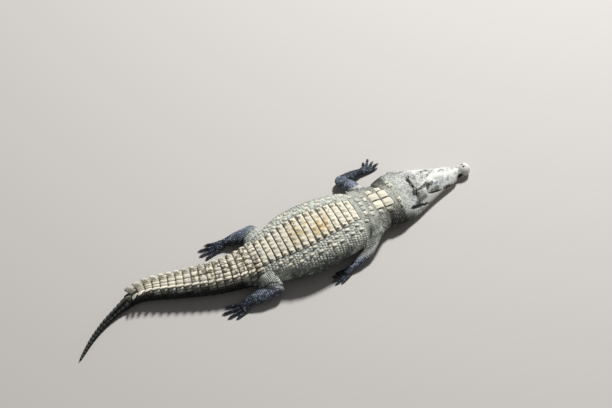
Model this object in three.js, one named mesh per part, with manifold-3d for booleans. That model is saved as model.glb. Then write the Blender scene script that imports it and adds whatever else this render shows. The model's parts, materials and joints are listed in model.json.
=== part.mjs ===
/**
 * American crocodile (Crocodylus acutus) basking on its belly, life size.
 *
 * Frame: millimetres, +Z up, +X toward the nose, +Y to the animal's left.
 * The origin is the bottom centre of the bounding box, on the floor.
 * Each piece is a closed solid: skull, lower jaw, eyes, neck, three lengths of
 * trunk, five lengths of tail with their crest scales, and four legs of three
 * lengths each with three claws per foot.
 */
import * as THREE from "three";
import { mergeVertices } from "three/addons/utils/BufferGeometryUtils.js";
import Module from "manifold-3d";

const wasm = await Module();
wasm.setup();

// ------------------------------------------------------------------ sizes, mm
const GAP = 0.3; // clearance between pieces that meet
const BODY_FACETS = 20; // facets around the body
const TAIL_FACETS = 12; // facets around the thin end of the tail
const LIMB_FACETS = 10; // facets around a leg
const DIGIT_FACETS = 6; // facets around a finger, toe or claw
const RING_STEP = 58; // distance between body sections
const BODY_WAIST = 0.42; // height of the widest line, as a share of the section's height
const BELLY_SINK = 7; // how far the round underside would reach below the floor
const BELLY_ROUNDNESS = 2.5; // superellipse exponent of the underside

const SNOUT_TIP = new THREE.Vector2(1298, -34);
const HEAD_YAW = THREE.MathUtils.degToRad(-4.5); // the head turns a little to its right
const HEAD_LENGTH = 645; // snout tip to the plane where the neck begins

/** Spine stations, head to tail tip: place, half width, height of the back, roundness. */
const SPINE = [
  { x: 655, y: 16, half: 240, top: 178, full: 1.7 },
  { x: 545, y: -10, half: 224, top: 198, full: 2.1 },
  { x: 430, y: -10, half: 204, top: 224, full: 2.2 },
  { x: 276, y: -13, half: 230, top: 266, full: 2.3 },
  { x: 119, y: -13, half: 266, top: 308, full: 2.3 },
  { x: -51, y: -9, half: 290, top: 332, full: 2.3 },
  { x: -229, y: -2, half: 294, top: 334, full: 2.3 },
  { x: -340, y: 6, half: 282, top: 320, full: 2.3 },
  { x: -450, y: 13, half: 244, top: 298, full: 2.4 },
  { x: -570, y: 20, half: 196, top: 274, full: 2.6 },
  { x: -690, y: 30, half: 160, top: 250, full: 2.8 },
  { x: -840, y: 51, half: 140, top: 224, full: 3.0 },
  { x: -995, y: 90, half: 126, top: 200, full: 3.0 },
  { x: -1142, y: 140, half: 112, top: 182, full: 3.0 },
  { x: -1270, y: 188, half: 101, top: 167, full: 3.0 },
  { x: -1391, y: 236, half: 89, top: 152, full: 2.9 },
  { x: -1490, y: 266, half: 76, top: 139, full: 2.7 },
  { x: -1580, y: 272, half: 60, top: 118, full: 2.4 },
  { x: -1660, y: 256, half: 47, top: 94, full: 2.1 },
  { x: -1755, y: 234, half: 35, top: 74, full: 2.0 },
  { x: -1885, y: 190, half: 26, top: 58, full: 2.0 },
  { x: -2008, y: 130, half: 20, top: 44, full: 2.0 },
  { x: -2121, y: 58, half: 14, top: 31, full: 2.0 },
  { x: -2190, y: 8, half: 6, top: 18, full: 2.0 },
];
const NECK_END = 3; // station at the shoulders
const TRUNK_FRONT_END = 5;
const TRUNK_MID_END = 7;
const TAIL_START = 9.35; // first whorl behind the hips, between two stations
const TRUNK_LENGTHS = 3;

/** Crest of the tail: paired fins on the thick part, one row on the thin part. */
const PAIRED_WHORLS = 17;
const SINGLE_WHORLS = 17;
const PAIRED_PITCH = 61;
const SINGLE_PITCH_FIRST = 44;
const SINGLE_PITCH_LAST = 27;
const PAIRED_RISE = { first: 16, last: 50 }; // height of the fins above the tail
const SINGLE_RISE = { first: 48, last: 14 };
const PAIRED_SPREAD = { first: 0.7, last: 0.36 }; // sideways place, as a share of the half width
const FIN_ROOT = 14; // how deep a fin is set into the tail
const FIN_LEAN = 0.3; // how far the paired fins lean outward
const TAIL_CUTS = [6, 12, 17, 25]; // whorls after which one length of tail ends

/** Head stations from the snout tip backward: half width, top, widest line, underside. */
const HEAD = [
  { u: 0, half: 16, top: 62, waist: 44, under: 18, full: 2.2 },
  { u: 14, half: 40, top: 86, waist: 44, under: 6, full: 2.3 },
  { u: 45, half: 55, top: 98, waist: 42, under: -2, full: 2.3 },
  { u: 82, half: 53, top: 96, waist: 40, under: -4, full: 2.3 },
  { u: 108, half: 48, top: 92, waist: 42, under: -4, full: 2.4 },
  { u: 148, half: 70, top: 94, waist: 42, under: -4, full: 2.4 },
  { u: 205, half: 89, top: 104, waist: 44, under: -4, full: 2.3 },
  { u: 270, half: 106, top: 122, waist: 48, under: -5, full: 2.1 },
  { u: 335, half: 127, top: 136, waist: 50, under: -6, full: 2.0 },
  { u: 400, half: 151, top: 158, waist: 52, under: -7, full: 1.8 },
  { u: 460, half: 176, top: 170, waist: 52, under: -7, full: 1.65 },
  { u: 535, half: 208, top: 170, waist: 52, under: -7, full: 1.5 },
  { u: 600, half: 232, top: 171, waist: 56, under: -7, full: 1.5 },
  { u: HEAD_LENGTH, half: 240, top: 178, waist: 62, under: -7, full: 1.7 },
];
/** Half width of the lower jaw at the head's stations: it sits inside the upper teeth. */
const JAW_HALF = [8, 30, 45, 50, 54, 60, 79, 97, 119, 147, 176, 208, 232, 240];

/** Line of the closed mouth in side view: distance from the snout tip, height. */
const MOUTH_LINE = [
  [-20, 40], [25, 38], [70, 34], [110, 44], [165, 36], [225, 44], [290, 52],
  [350, 44], [410, 44], [480, 62], [545, 92], [604, 108],
];
const JAW_HINGE = [[628, 88], [637, 40], [638, -12]]; // rear edge of the lower jaw below the corner

const TOOTH_RADIUS = 4.6;
const UPPER_TEETH = [30, 60, 136, 164, 194, 228, 268, 312];
const LOWER_TEETH = { u: 108, rise: 26 }; // the fourth lower tooth stands in the notch of the snout

const EYE_RADIUS = 18;
const EYE_AT = { u: 412, v: 53, z: 165 };
const BROW = { u: 408, v: 39, z: 148, long: 52, wide: 30, high: 47 };
const NOSE_BULB = { u: 58, z: 66, long: 56, wide: 50, high: 46 };
const SNOUT_BOSS = { u: 318, z: 104, long: 82, wide: 48, high: 40 };
const TABLE = { front: 440, rear: 531, frontHalf: 48, rearHalf: 74, bottom: 90, top: 190 };

const FLESH = { dorsal: "#b9b39c", flank: "#77796c", leg: "#5b626a", tail: "#3d3d3b" };

// ------------------------------------------------------------------ solids

/** Turns a closed geometry into a solid whose faces point out. */
function solidOf(geometry) {
  const bare = geometry.clone();
  bare.deleteAttribute("normal");
  bare.deleteAttribute("uv");
  const merged = mergeVertices(bare, 1e-4);
  const triVerts = new Uint32Array(merged.index.array);
  const vertProperties = new Float32Array(merged.attributes.position.array);
  const solid = new wasm.Manifold(new wasm.Mesh({ numProp: 3, vertProperties, triVerts }));
  return solid;
}

/** Turns a solid back into a geometry with flat normals. */
function geometryOf(solid) {
  const mesh = solid.getMesh();
  const geometry = new THREE.BufferGeometry();
  const position = new Float32Array(mesh.vertProperties);
  geometry.setAttribute("position", new THREE.BufferAttribute(position, 3));
  geometry.setIndex(new THREE.BufferAttribute(new Uint32Array(mesh.triVerts), 1));
  geometry.computeVertexNormals();
  return geometry;
}

/** Signed volume of an indexed triangle list, positive when its faces point out. */
function signedVolume(points, triangles) {
  let sum = 0;
  for (let i = 0; i < triangles.length; i += 3) {
    const [a, b, c] = [points[triangles[i]], points[triangles[i + 1]], points[triangles[i + 2]]];
    sum += a.dot(new THREE.Vector3().crossVectors(b, c));
  }
  return sum / 6;
}

/** Closed solid through rings of equal point count, with a flat cap on each end. */
function loft(rings) {
  const count = rings[0].length;
  const points = rings.flat();
  const triangles = [];
  for (let r = 0; r + 1 < rings.length; r += 1) {
    for (let k = 0; k < count; k += 1) {
      const next = (k + 1) % count;
      const [a, b] = [r * count + k, r * count + next];
      const [c, d] = [a + count, b + count];
      triangles.push(a, b, d, a, d, c);
    }
  }
  for (const first of [0, (rings.length - 1) * count]) {
    const middle = new THREE.Vector3();
    for (let k = 0; k < count; k += 1) {
      middle.addScaledVector(points[first + k], 1 / count);
    }
    points.push(middle);
    for (let k = 0; k < count; k += 1) {
      const [a, b] = [first + k, first + ((k + 1) % count)];
      triangles.push(...(first === 0 ? [b, a, points.length - 1] : [a, b, points.length - 1]));
    }
  }
  if (signedVolume(points, triangles) < 0) {
    triangles.reverse();
  }
  const geometry = new THREE.BufferGeometry().setFromPoints(points);
  geometry.setIndex(triangles);
  return solidOf(geometry);
}

/** Everything below the floor, which flattens whatever rests on it. */
const FLOOR_DEPTH = 400;
const belowFloor = solidOf(
  new THREE.BoxGeometry(6000, 3000, FLOOR_DEPTH).translate(0, 0, -FLOOR_DEPTH / 2),
);

/** A curve through all stations whose three coordinates are any three named sizes. */
function sizesAlong(stations, first, second, third) {
  const points = stations.map((s) => new THREE.Vector3(s[first], s[second], s[third]));
  return new THREE.CatmullRomCurve3(points, false, "catmullrom", 0.5);
}

/** One section: points (side, height) around a superellipse with a flat underside. */
function sectionOutline({ half, top, waist, under, full }, grow, facets = BODY_FACETS) {
  const power = (value, exponent) => Math.sign(value) * Math.abs(value) ** (2 / exponent);
  const outline = [];
  for (let k = 0; k < facets; k += 1) {
    const angle = (2 * Math.PI * k) / facets;
    const [c, s] = [Math.cos(angle), Math.sin(angle)];
    const side = (half + grow) * power(c, full);
    const above = waist + (top + grow - waist) * power(s, full);
    const below = waist + (waist - under) * power(s, BELLY_ROUNDNESS);
    outline.push([side, s >= 0 ? above : Math.max(below, -grow)]);
  }
  return outline;
}

// ------------------------------------------------------------------ neck, trunk and tail

const spineRoute = new THREE.CatmullRomCurve3(
  SPINE.map((s) => new THREE.Vector3(s.x, s.y, 0)),
  false,
  "catmullrom",
  0.5,
);
const spineGirth = sizesAlong(SPINE, "half", "top", "full");
const ARC_SAMPLES = 40; // arc samples in each interval between stations
const spineArcs = spineRoute.getLengths(ARC_SAMPLES * (SPINE.length - 1));
spineRoute.arcLengthDivisions = ARC_SAMPLES * (SPINE.length - 1);
const spineLength = spineArcs[spineArcs.length - 1];

/** Distance along the spine to a station, whole or between two. */
function arcAt(station) {
  return spineArcs[Math.round(station * ARC_SAMPLES)];
}

/** Place, direction and sizes of the spine at a distance along it. */
function spineAt(arc) {
  const t = spineRoute.getUtoTmapping(THREE.MathUtils.clamp(arc / spineLength, 0, 1));
  const girth = spineGirth.getPoint(t);
  return {
    at: spineRoute.getPoint(t),
    rear: spineRoute.getTangent(t).normalize(),
    half: girth.x,
    top: girth.y,
    waist: BODY_WAIST * girth.y,
    under: -BELLY_SINK,
    full: girth.z,
  };
}

/** Ring of body points at a place on the floor, across a horizontal direction. */
function ringAt(place, rear, sizes, grow, facets) {
  const left = new THREE.Vector3(rear.y, -rear.x, 0);
  return sectionOutline(sizes, grow, facets).map(([side, height]) => {
    const point = place.clone().addScaledVector(left, side);
    return point.setZ(height);
  });
}

/** Ring of the body at a distance along the spine, moved along it by a small shift. */
function bodyRing(arc, shift, grow, facets) {
  const here = spineAt(arc);
  const place = here.at.clone().addScaledVector(here.rear, shift);
  return ringAt(place, here.rear, here, grow, facets);
}

/** Arc lengths from one cut to the next in nearly equal steps. */
function arcSteps(from, to, step) {
  const count = Math.max(2, Math.round((to - from) / step));
  return Array.from({ length: count + 1 }, (_, i) => from + ((to - from) * i) / count);
}

/** Length of the body between two distances along the spine. */
function bodyLength(from, to, facets = BODY_FACETS) {
  const arcs = arcSteps(from, to, RING_STEP);
  const shifts = arcs.map(() => 0);
  shifts[0] = GAP / 2;
  shifts[shifts.length - 1] = -GAP / 2;
  return loft(arcs.map((arc, i) => bodyRing(arc, shifts[i], 0, facets)));
}

/** Whorls of the tail: where each starts along the spine, its pitch, and its fins' shape. */
function tailWhorls() {
  const whorls = [];
  let start = arcAt(TAIL_START);
  for (let i = 0; i < PAIRED_WHORLS; i += 1) {
    const along = i / (PAIRED_WHORLS - 1);
    const rise = THREE.MathUtils.lerp(PAIRED_RISE.first, PAIRED_RISE.last, along);
    const spread = THREE.MathUtils.lerp(PAIRED_SPREAD.first, PAIRED_SPREAD.last, along ** 3);
    whorls.push({ start, pitch: PAIRED_PITCH, rise, spreads: [spread, -spread] });
    start += PAIRED_PITCH;
  }
  for (let i = 0; i < SINGLE_WHORLS; i += 1) {
    const along = i / (SINGLE_WHORLS - 1);
    const pitch = THREE.MathUtils.lerp(SINGLE_PITCH_FIRST, SINGLE_PITCH_LAST, along);
    const rise = THREE.MathUtils.lerp(SINGLE_RISE.first, SINGLE_RISE.last, along);
    whorls.push({ start, pitch, rise, spreads: [0] });
    start += pitch;
  }
  return whorls;
}

/** One crest scale: a thin upright blade whose tip leans to the rear. */
function crestFin(whorl, spread) {
  const here = spineAt(whorl.start + whorl.pitch / 2);
  const thickness = THREE.MathUtils.clamp(here.half * 0.13, 5, 9);
  const reach = whorl.pitch * 0.43;
  const outline = new THREE.Shape([
    new THREE.Vector2(-reach, -FIN_ROOT),
    new THREE.Vector2(reach, -FIN_ROOT),
    new THREE.Vector2(reach * 0.8, whorl.rise),
  ]);
  const blade = new THREE.ExtrudeGeometry(outline, { depth: thickness, bevelEnabled: false });
  blade.translate(0, 0, -thickness / 2);
  const side = here.half * spread;
  const drop = (1 - Math.abs(spread) ** here.full) ** (1 / here.full);
  const height = here.waist + (here.top - here.waist) * drop;
  const left = new THREE.Vector3(here.rear.y, -here.rear.x, 0);
  const up = new THREE.Vector3(0, 0, 1).addScaledVector(left, spread * FIN_LEAN).normalize();
  const across = new THREE.Vector3().crossVectors(here.rear, up);
  const turn = new THREE.Matrix4().makeBasis(here.rear, up, across);
  turn.setPosition(here.at.clone().addScaledVector(left, side).setZ(height));
  return solidOf(blade.applyMatrix4(turn));
}

/** Where the spine is cut: the shoulders, mid trunk, hips and four places on the tail. */
function spineCuts() {
  const whorls = tailWhorls();
  const trunk = [NECK_END, TRUNK_FRONT_END, TRUNK_MID_END, TAIL_START].map(arcAt);
  return [0, ...trunk, ...TAIL_CUTS.map((count) => whorls[count].start), spineLength];
}

/** The five lengths of tail with their fins, cut between whorls. */
function tailLengths() {
  const whorls = tailWhorls();
  const cuts = spineCuts().slice(TRUNK_LENGTHS + 1);
  return [0, ...TAIL_CUTS].map((first, i) => {
    const last = i < TAIL_CUTS.length ? TAIL_CUTS[i] : whorls.length;
    const facets = whorls[first].spreads.length === 2 ? BODY_FACETS : TAIL_FACETS;
    let length = bodyLength(cuts[i], cuts[i + 1], facets);
    for (const whorl of whorls.slice(first, last)) {
      for (const spread of whorl.spreads) {
        length = length.add(crestFin(whorl, spread));
      }
    }
    return length;
  });
}

// ------------------------------------------------------------------ head

const headRear = new THREE.Vector3(-Math.cos(HEAD_YAW), -Math.sin(HEAD_YAW), 0);
const headLeft = new THREE.Vector3(-Math.sin(HEAD_YAW), Math.cos(HEAD_YAW), 0);

/** Point of the head: distance behind the snout tip, to the left, and height. */
function headPoint(u, v, z) {
  const point = new THREE.Vector3(SNOUT_TIP.x, SNOUT_TIP.y, z);
  return point.addScaledVector(headRear, u).addScaledVector(headLeft, v);
}

/** Solid through the head's stations, with the half widths given. */
function headLoft(halves) {
  const last = HEAD.length - 1;
  return loft(
    HEAD.map((station, i) => {
      const u = i < last ? station.u : HEAD_LENGTH - GAP / 2;
      return ringAt(headPoint(u, 0, 0), headRear, { ...station, half: halves[i] }, 0);
    }),
  );
}

/** Turns a solid made at the snout tip, nose along +X, into its place on the head. */
function placeOnHead(geometry) {
  return geometry.rotateZ(HEAD_YAW).translate(SNOUT_TIP.x, SNOUT_TIP.y, 0);
}

/** Block of everything below the mouth line and in front of the jaw hinge. */
function jawBlock(grow) {
  const mouth = new THREE.SplineCurve(MOUTH_LINE.map(([u, z]) => new THREE.Vector2(-u, z + grow)));
  const hinge = JAW_HINGE.map(([u, z]) => new THREE.Vector2(-u - grow, z + grow));
  const outline = [...mouth.getPoints(2 * (MOUTH_LINE.length - 1)), ...hinge];
  outline.push(new THREE.Vector2(20 + grow, JAW_HINGE[2][1] + grow));
  const block = new THREE.ExtrudeGeometry(new THREE.Shape(outline), {
    depth: 600,
    bevelEnabled: false,
  });
  return solidOf(placeOnHead(block.translate(0, 0, -300).rotateX(Math.PI / 2)));
}

/** Half width of the head and height of the mouth at a distance behind the snout tip. */
function lipAt(u) {
  const i = HEAD.findIndex((s) => s.u > u);
  const [a, b] = [HEAD[i - 1], HEAD[i]];
  const share = (u - a.u) / (b.u - a.u);
  const mouth = new THREE.SplineCurve(MOUTH_LINE.map((p) => new THREE.Vector2(...p)));
  const j = MOUTH_LINE.findIndex((p) => p[0] > u);
  const along = (u - MOUTH_LINE[j - 1][0]) / (MOUTH_LINE[j][0] - MOUTH_LINE[j - 1][0]);
  const z = mouth.getPoint((j - 1 + along) / (MOUTH_LINE.length - 1)).y;
  return { half: THREE.MathUtils.lerp(a.half, b.half, share), z };
}

/** Pointed tooth from a root to a tip. */
function tooth(root, tip, radius) {
  const length = root.distanceTo(tip);
  const cone = new THREE.ConeGeometry(radius, length, 5).translate(0, length / 2, 0);
  const turn = new THREE.Quaternion();
  turn.setFromUnitVectors(new THREE.Vector3(0, 1, 0), tip.clone().sub(root).normalize());
  return solidOf(cone.applyQuaternion(turn).translate(root.x, root.y, root.z));
}

/** Upper teeth of one side, pointing down outside the lower jaw. */
function upperTeeth(side, grow) {
  return UPPER_TEETH.map((u, i) => {
    const lip = lipAt(u);
    const length = 11 + 4 * Math.cos(i * 1.9) + grow;
    const v = side * (lip.half - TOOTH_RADIUS + 0.6);
    const tip = headPoint(u, v + side, lip.z - length);
    return tooth(headPoint(u, v, lip.z + 8), tip, TOOTH_RADIUS + grow);
  });
}

/** Fourth lower tooth of one side, standing in the notch behind the nose. */
function notchTooth(side, grow) {
  const lip = lipAt(LOWER_TEETH.u);
  const v = side * (JAW_HALF[4] - TOOTH_RADIUS / 2);
  const root = headPoint(LOWER_TEETH.u, v, lip.z - 14);
  return tooth(root, headPoint(LOWER_TEETH.u, v, lip.z + LOWER_TEETH.rise + grow), TOOTH_RADIUS + grow);
}

/** Skull table: the flat plate between and behind the eyes. */
function skullTable() {
  const { front, rear, frontHalf, rearHalf, bottom, top } = TABLE;
  const outline = new THREE.Shape([
    new THREE.Vector2(-front + 40, -frontHalf * 0.5),
    new THREE.Vector2(-front + 40, frontHalf * 0.5),
    new THREE.Vector2(-front, frontHalf),
    new THREE.Vector2(-rear, rearHalf),
    new THREE.Vector2(-rear - 12, rearHalf - 12),
    new THREE.Vector2(-rear, rearHalf * 0.5),
    new THREE.Vector2(-rear, -rearHalf * 0.5),
    new THREE.Vector2(-rear - 12, 12 - rearHalf),
    new THREE.Vector2(-rear, -rearHalf),
    new THREE.Vector2(-front, -frontHalf),
  ]);
  const plate = new THREE.ExtrudeGeometry(outline, {
    depth: top - bottom - 5,
    bevelEnabled: true,
    bevelSize: 4,
    bevelThickness: 5,
    bevelSegments: 1,
  });
  return solidOf(placeOnHead(plate.translate(0, 0, bottom)));
}

/** Ellipsoid on the head, long along it. */
function headBulge({ u, v = 0, z, long, wide, high }) {
  const ball = new THREE.SphereGeometry(1, 10, 6).rotateX(Math.PI / 2).scale(long, wide, high);
  return solidOf(placeOnHead(ball.translate(-u, v, z)));
}

/** Eyeball of one side, or the socket that it sits in. */
function eyeball(side, radius) {
  const ball = new THREE.SphereGeometry(radius, 12, 6).rotateX(Math.PI / 2);
  return solidOf(placeOnHead(ball.translate(-EYE_AT.u, side * EYE_AT.v, EYE_AT.z)));
}

/** Skull with its brows, table, nose and upper teeth, open below for the jaw. */
function skull() {
  let form = headLoft(HEAD.map((s) => s.half));
  form = form.add(headBulge(NOSE_BULB)).add(headBulge(SNOUT_BOSS)).add(skullTable());
  for (const side of [1, -1]) {
    form = form.add(headBulge({ ...BROW, v: side * BROW.v }));
    form = form.subtract(eyeball(side, EYE_RADIUS + GAP));
    form = form.subtract(notchTooth(side, GAP));
  }
  form = form.subtract(jawBlock(GAP / 2));
  for (const piece of [...upperTeeth(1, 0), ...upperTeeth(-1, 0)]) {
    form = form.add(piece);
  }
  return form;
}

/** Lower jaw with the two large teeth that show when the mouth is shut. */
function lowerJaw() {
  let form = headLoft(JAW_HALF).intersect(jawBlock(-GAP / 2));
  form = form.add(notchTooth(1, 0)).add(notchTooth(-1, 0));
  for (const piece of [...upperTeeth(1, GAP), ...upperTeeth(-1, GAP)]) {
    form = form.subtract(piece);
  }
  return form;
}

/** Sections of the neck: the first one is the head's last one. */
function neckRings(grow, endShift) {
  const arcs = arcSteps(0, arcAt(NECK_END), RING_STEP);
  const last = arcs.length - 1;
  return arcs.map((arc, i) => {
    if (i === 0) {
      const place = headPoint(HEAD_LENGTH + GAP / 2, 0, 0);
      return ringAt(place, headRear, HEAD[HEAD.length - 1], grow);
    }
    return bodyRing(arc, i === last ? endShift : 0, grow);
  });
}

/** Neck and trunk grown by the clearance, which cuts the legs where they meet the body. */
function bodyTool() {
  const cuts = spineCuts();
  const rings = neckRings(GAP, 0);
  for (let i = 1; i <= TRUNK_LENGTHS + 1; i += 1) {
    const arcs = arcSteps(cuts[i], cuts[i + 1], RING_STEP).slice(1);
    rings.push(...arcs.map((arc) => bodyRing(arc, 0, GAP)));
  }
  return loft(rings);
}
const legCutter = bodyTool();

// ------------------------------------------------------------------ legs

/** Leg plan: joint places, finger or toe tips from the inner one out, and radii. */
const LEGS = [
  {
    name: "foreleg_left",
    parts: ["upper_arm", "forearm", "hand"],
    joints: [[384, 150, 168], [318, 372, 62], [520, 378, 34], [590, 380, 17]],
    radii: { root: 64, upper: 56, middle: 44, lower: 42, ankle: 27 },
    palm: { wide: 40, high: 17 },
    digitRadius: 11,
    tips: [[672, 350], [700, 388], [676, 426], [640, 460], [588, 452]],
  },
  {
    name: "foreleg_right",
    parts: ["upper_arm", "forearm", "hand"],
    joints: [[372, -170, 158], [184, -305, 66], [14, -343, 36], [-52, -356, 17]],
    radii: { root: 64, upper: 56, middle: 44, lower: 42, ankle: 27 },
    palm: { wide: 40, high: 17 },
    digitRadius: 11,
    tips: [[-128, -414], [-172, -398], [-182, -366], [-158, -334], [-120, -318]],
  },
  {
    name: "hindleg_left",
    parts: ["thigh", "shank", "foot"],
    joints: [[-560, 110, 150], [-532, 296, 84], [-734, 344, 44], [-826, 356, 18]],
    radii: { root: 104, upper: 94, middle: 68, lower: 58, ankle: 37 },
    palm: { wide: 48, high: 18 },
    digitRadius: 12,
    tips: [[-893, 424], [-962, 400], [-974, 352], [-934, 306]],
  },
  {
    name: "hindleg_right",
    parts: ["thigh", "shank", "foot"],
    joints: [[-618, -90, 150], [-592, -224, 82], [-808, -208, 50], [-898, -218, 18]],
    radii: { root: 104, upper: 92, middle: 68, lower: 68, ankle: 46 },
    palm: { wide: 52, high: 18 },
    digitRadius: 12,
    tips: [[-984, -274], [-1040, -238], [-1062, -184], [-1006, -146]],
  },
];
const CLAWS_PER_FOOT = 3;
const CLAW_LENGTH = 26;
const CLAW_WIDTH = 5; // half width and half height at the root
const CLAW_HEIGHT = 6.5;
const CLAW_DROP = -7; // how far the tip hangs below the root
const WEB_THICKNESS = 8;
const WEB_ALONG_TOE = 0.62; // how far the web follows each toe, as a share of its length
const WEB_HOLLOW = 0.42; // how far it reaches half way between the toes
const KNUCKLE_SPREAD = 0.74; // outermost knuckles, as a share of the palm's half width
const KNUCKLE_ARCH = -10; // how far they stand behind the middle one

/** Straight stretch of leg: sections given as share of the length, width and height radius. */
function stretch(from, to, sections, facets) {
  const axis = to.clone().sub(from);
  const length = axis.length();
  axis.normalize();
  const side = new THREE.Vector3(0, 0, 1).cross(axis).normalize();
  const up = new THREE.Vector3().crossVectors(axis, side);
  return loft(
    sections.map(([share, wide, high]) => {
      const centre = from.clone().addScaledVector(axis, share * length);
      return Array.from({ length: facets }, (_, k) => {
        const angle = (2 * Math.PI * (k + 0.5)) / facets;
        const point = centre.clone().addScaledVector(side, wide * Math.cos(angle));
        return point.addScaledVector(up, high * Math.sin(angle));
      });
    }),
  );
}

/** Sections of a stretch whose far end is a round joint, all grown by a clearance. */
function jointed(length, radii, grow) {
  const sections = radii.map((r, i) => [i / (radii.length - 1), r + grow, r + grow]);
  const end = radii[radii.length - 1] + grow;
  for (const angle of [30, 60, 80]) {
    const turn = THREE.MathUtils.degToRad(angle);
    const radius = end * Math.cos(turn);
    sections.push([1 + (end * Math.sin(turn)) / length, radius, radius]);
  }
  return sections;
}

/** Claw: a narrow horn that curves down from the end of a digit. */
function claw(base, direction) {
  const side = new THREE.Vector3(0, 0, 1).cross(direction).normalize();
  const sections = [[0, 1], [0.4, 0.86], [0.75, 0.55], [1, 0.16]];
  return loft(
    sections.map(([share, size]) => {
      const centre = base.clone().addScaledVector(direction, GAP + share * (CLAW_LENGTH - GAP));
      centre.z += CLAW_DROP * share ** 2;
      return Array.from({ length: DIGIT_FACETS }, (_, k) => {
        const angle = (2 * Math.PI * (k + 0.5)) / DIGIT_FACETS;
        const point = centre.clone().addScaledVector(side, CLAW_WIDTH * size * Math.cos(angle));
        point.z += CLAW_HEIGHT * size * Math.sin(angle);
        return point;
      });
    }),
  );
}

/** Web between two neighbouring toes, from the knuckles to a little over half their length. */
function web(knuckles, tips) {
  const outline = [knuckles[0]];
  outline.push(knuckles[0].clone().lerp(tips[0], WEB_ALONG_TOE));
  const middle = knuckles[0].clone().add(knuckles[1]).multiplyScalar(0.5);
  const reach = tips[0].clone().add(tips[1]).multiplyScalar(0.5);
  outline.push(middle.lerp(reach, WEB_HOLLOW));
  outline.push(knuckles[1].clone().lerp(tips[1], WEB_ALONG_TOE), knuckles[1]);
  const shape = new THREE.Shape(outline.map((p) => new THREE.Vector2(p.x, p.y)));
  const plate = new THREE.ExtrudeGeometry(shape, { depth: WEB_THICKNESS, bevelEnabled: false });
  return solidOf(plate);
}

/** The named solids of one leg: upper and lower length, hand or foot, and its claws. */
function legPieces(leg) {
  const [hip, knee, ankle, knuckle] = leg.joints.map((p) => new THREE.Vector3(...p));
  const { root, upper, middle, lower, ankle: ankleRadius } = leg.radii;
  const upperForm = (grow) => {
    const sections = jointed(hip.distanceTo(knee), [root, upper, upper * 0.92, middle], grow);
    return stretch(hip, knee, sections, LIMB_FACETS);
  };
  const lowerForm = (grow) => {
    const sections = jointed(knee.distanceTo(ankle), [middle * 0.9, lower, ankleRadius], grow);
    return stretch(knee, ankle, sections, LIMB_FACETS);
  };
  const clean = (form) => form.subtract(legCutter).subtract(belowFloor);

  const { wide, high } = leg.palm;
  const palmSections = [
    [0, ankleRadius * 0.9, ankleRadius * 0.8],
    [0.5, wide * 0.86, (ankleRadius + high) / 2],
    [1, wide, high],
    [1.16, wide * 0.8, high * 0.6],
  ];
  let foot = stretch(ankle, knuckle, palmSections, LIMB_FACETS);
  const along = knuckle.clone().sub(ankle).setZ(0).normalize();
  const across = new THREE.Vector3(-along.y, along.x, 0);
  const tips = leg.tips.map(([x, y]) => new THREE.Vector3(x, y, leg.digitRadius));
  const order = Math.sign(tips[tips.length - 1].clone().sub(tips[0]).dot(across));
  const knuckles = tips.map((_, i) => {
    const share = (2 * i) / (tips.length - 1) - 1;
    const place = knuckle.clone().addScaledVector(across, order * share * wide * KNUCKLE_SPREAD);
    return place.addScaledVector(along, KNUCKLE_ARCH * share ** 2).setZ(leg.digitRadius + 2);
  });
  const claws = [];
  tips.forEach((tip, i) => {
    const clawed = i < CLAWS_PER_FOOT;
    const direction = tip.clone().sub(knuckles[i]).setZ(0).normalize();
    const end = tip.clone().addScaledVector(direction, clawed ? -CLAW_LENGTH : 0);
    const r = leg.digitRadius;
    const sections = [[0, r * 1.1, r], [0.45, r * 0.92, r * 0.92], [0.92, r * 0.86, r * 0.86]];
    sections.push([1, r * 0.6, r * 0.64]);
    foot = foot.add(stretch(knuckles[i], end, sections, DIGIT_FACETS));
    if (clawed) {
      claws.push(claw(end, direction).subtract(belowFloor));
    }
  });
  if (leg.parts[2] === "foot") {
    for (let i = 0; i + 1 < tips.length; i += 1) {
      foot = foot.add(web(knuckles.slice(i, i + 2), tips.slice(i, i + 2)));
    }
  }
  const pieces = [
    [leg.parts[0], clean(upperForm(0))],
    [leg.parts[1], clean(lowerForm(0).subtract(upperForm(GAP)))],
    [leg.parts[2], clean(foot.subtract(lowerForm(GAP)))],
    ...claws.map((form, i) => [`claw_${i + 1}`, form]),
  ];
  return pieces.map(([part, form]) => [`${leg.name}_${part}`, form]);
}

// ------------------------------------------------------------------ the model

const crocodile = new THREE.Group();

/** Adds one named piece with its own material. */
function addPiece(name, form, colour, roughness) {
  const material = new THREE.MeshStandardMaterial({ color: colour, roughness, metalness: 0 });
  const mesh = new THREE.Mesh(geometryOf(form), material);
  mesh.name = name;
  crocodile.add(mesh);
}

addPiece("skull", skull(), "#d9d6c8", 0.7);
addPiece("lower_jaw", lowerJaw(), "#c9c6b8", 0.7);
addPiece("eye_left", eyeball(1, EYE_RADIUS), "#6f6a3a", 0.15);
addPiece("eye_right", eyeball(-1, EYE_RADIUS), "#6f6a3a", 0.15);
addPiece("neck", loft(neckRings(0, -GAP / 2)), FLESH.flank, 0.85);
["trunk_front", "trunk_mid", "trunk_rear"].forEach((name, i) => {
  const cuts = spineCuts();
  addPiece(name, bodyLength(cuts[i + 1], cuts[i + 2]), FLESH.dorsal, 0.8);
});
tailLengths().forEach((form, i) => {
  addPiece(`tail_${i + 1}`, form, i < 3 ? FLESH.dorsal : FLESH.tail, 0.8);
});
for (const leg of LEGS) {
  for (const [name, form] of legPieces(leg)) {
    addPiece(name, form, name.includes("claw") ? "#2b2926" : FLESH.leg, 0.75);
  }
}

// The origin goes to the bottom centre of the bounding box.
const bounds = new THREE.Box3().setFromObject(crocodile);
const middle = bounds.getCenter(new THREE.Vector3());
crocodile.position.set(-middle.x, -middle.y, -bounds.min.z);

export default crocodile;
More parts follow.
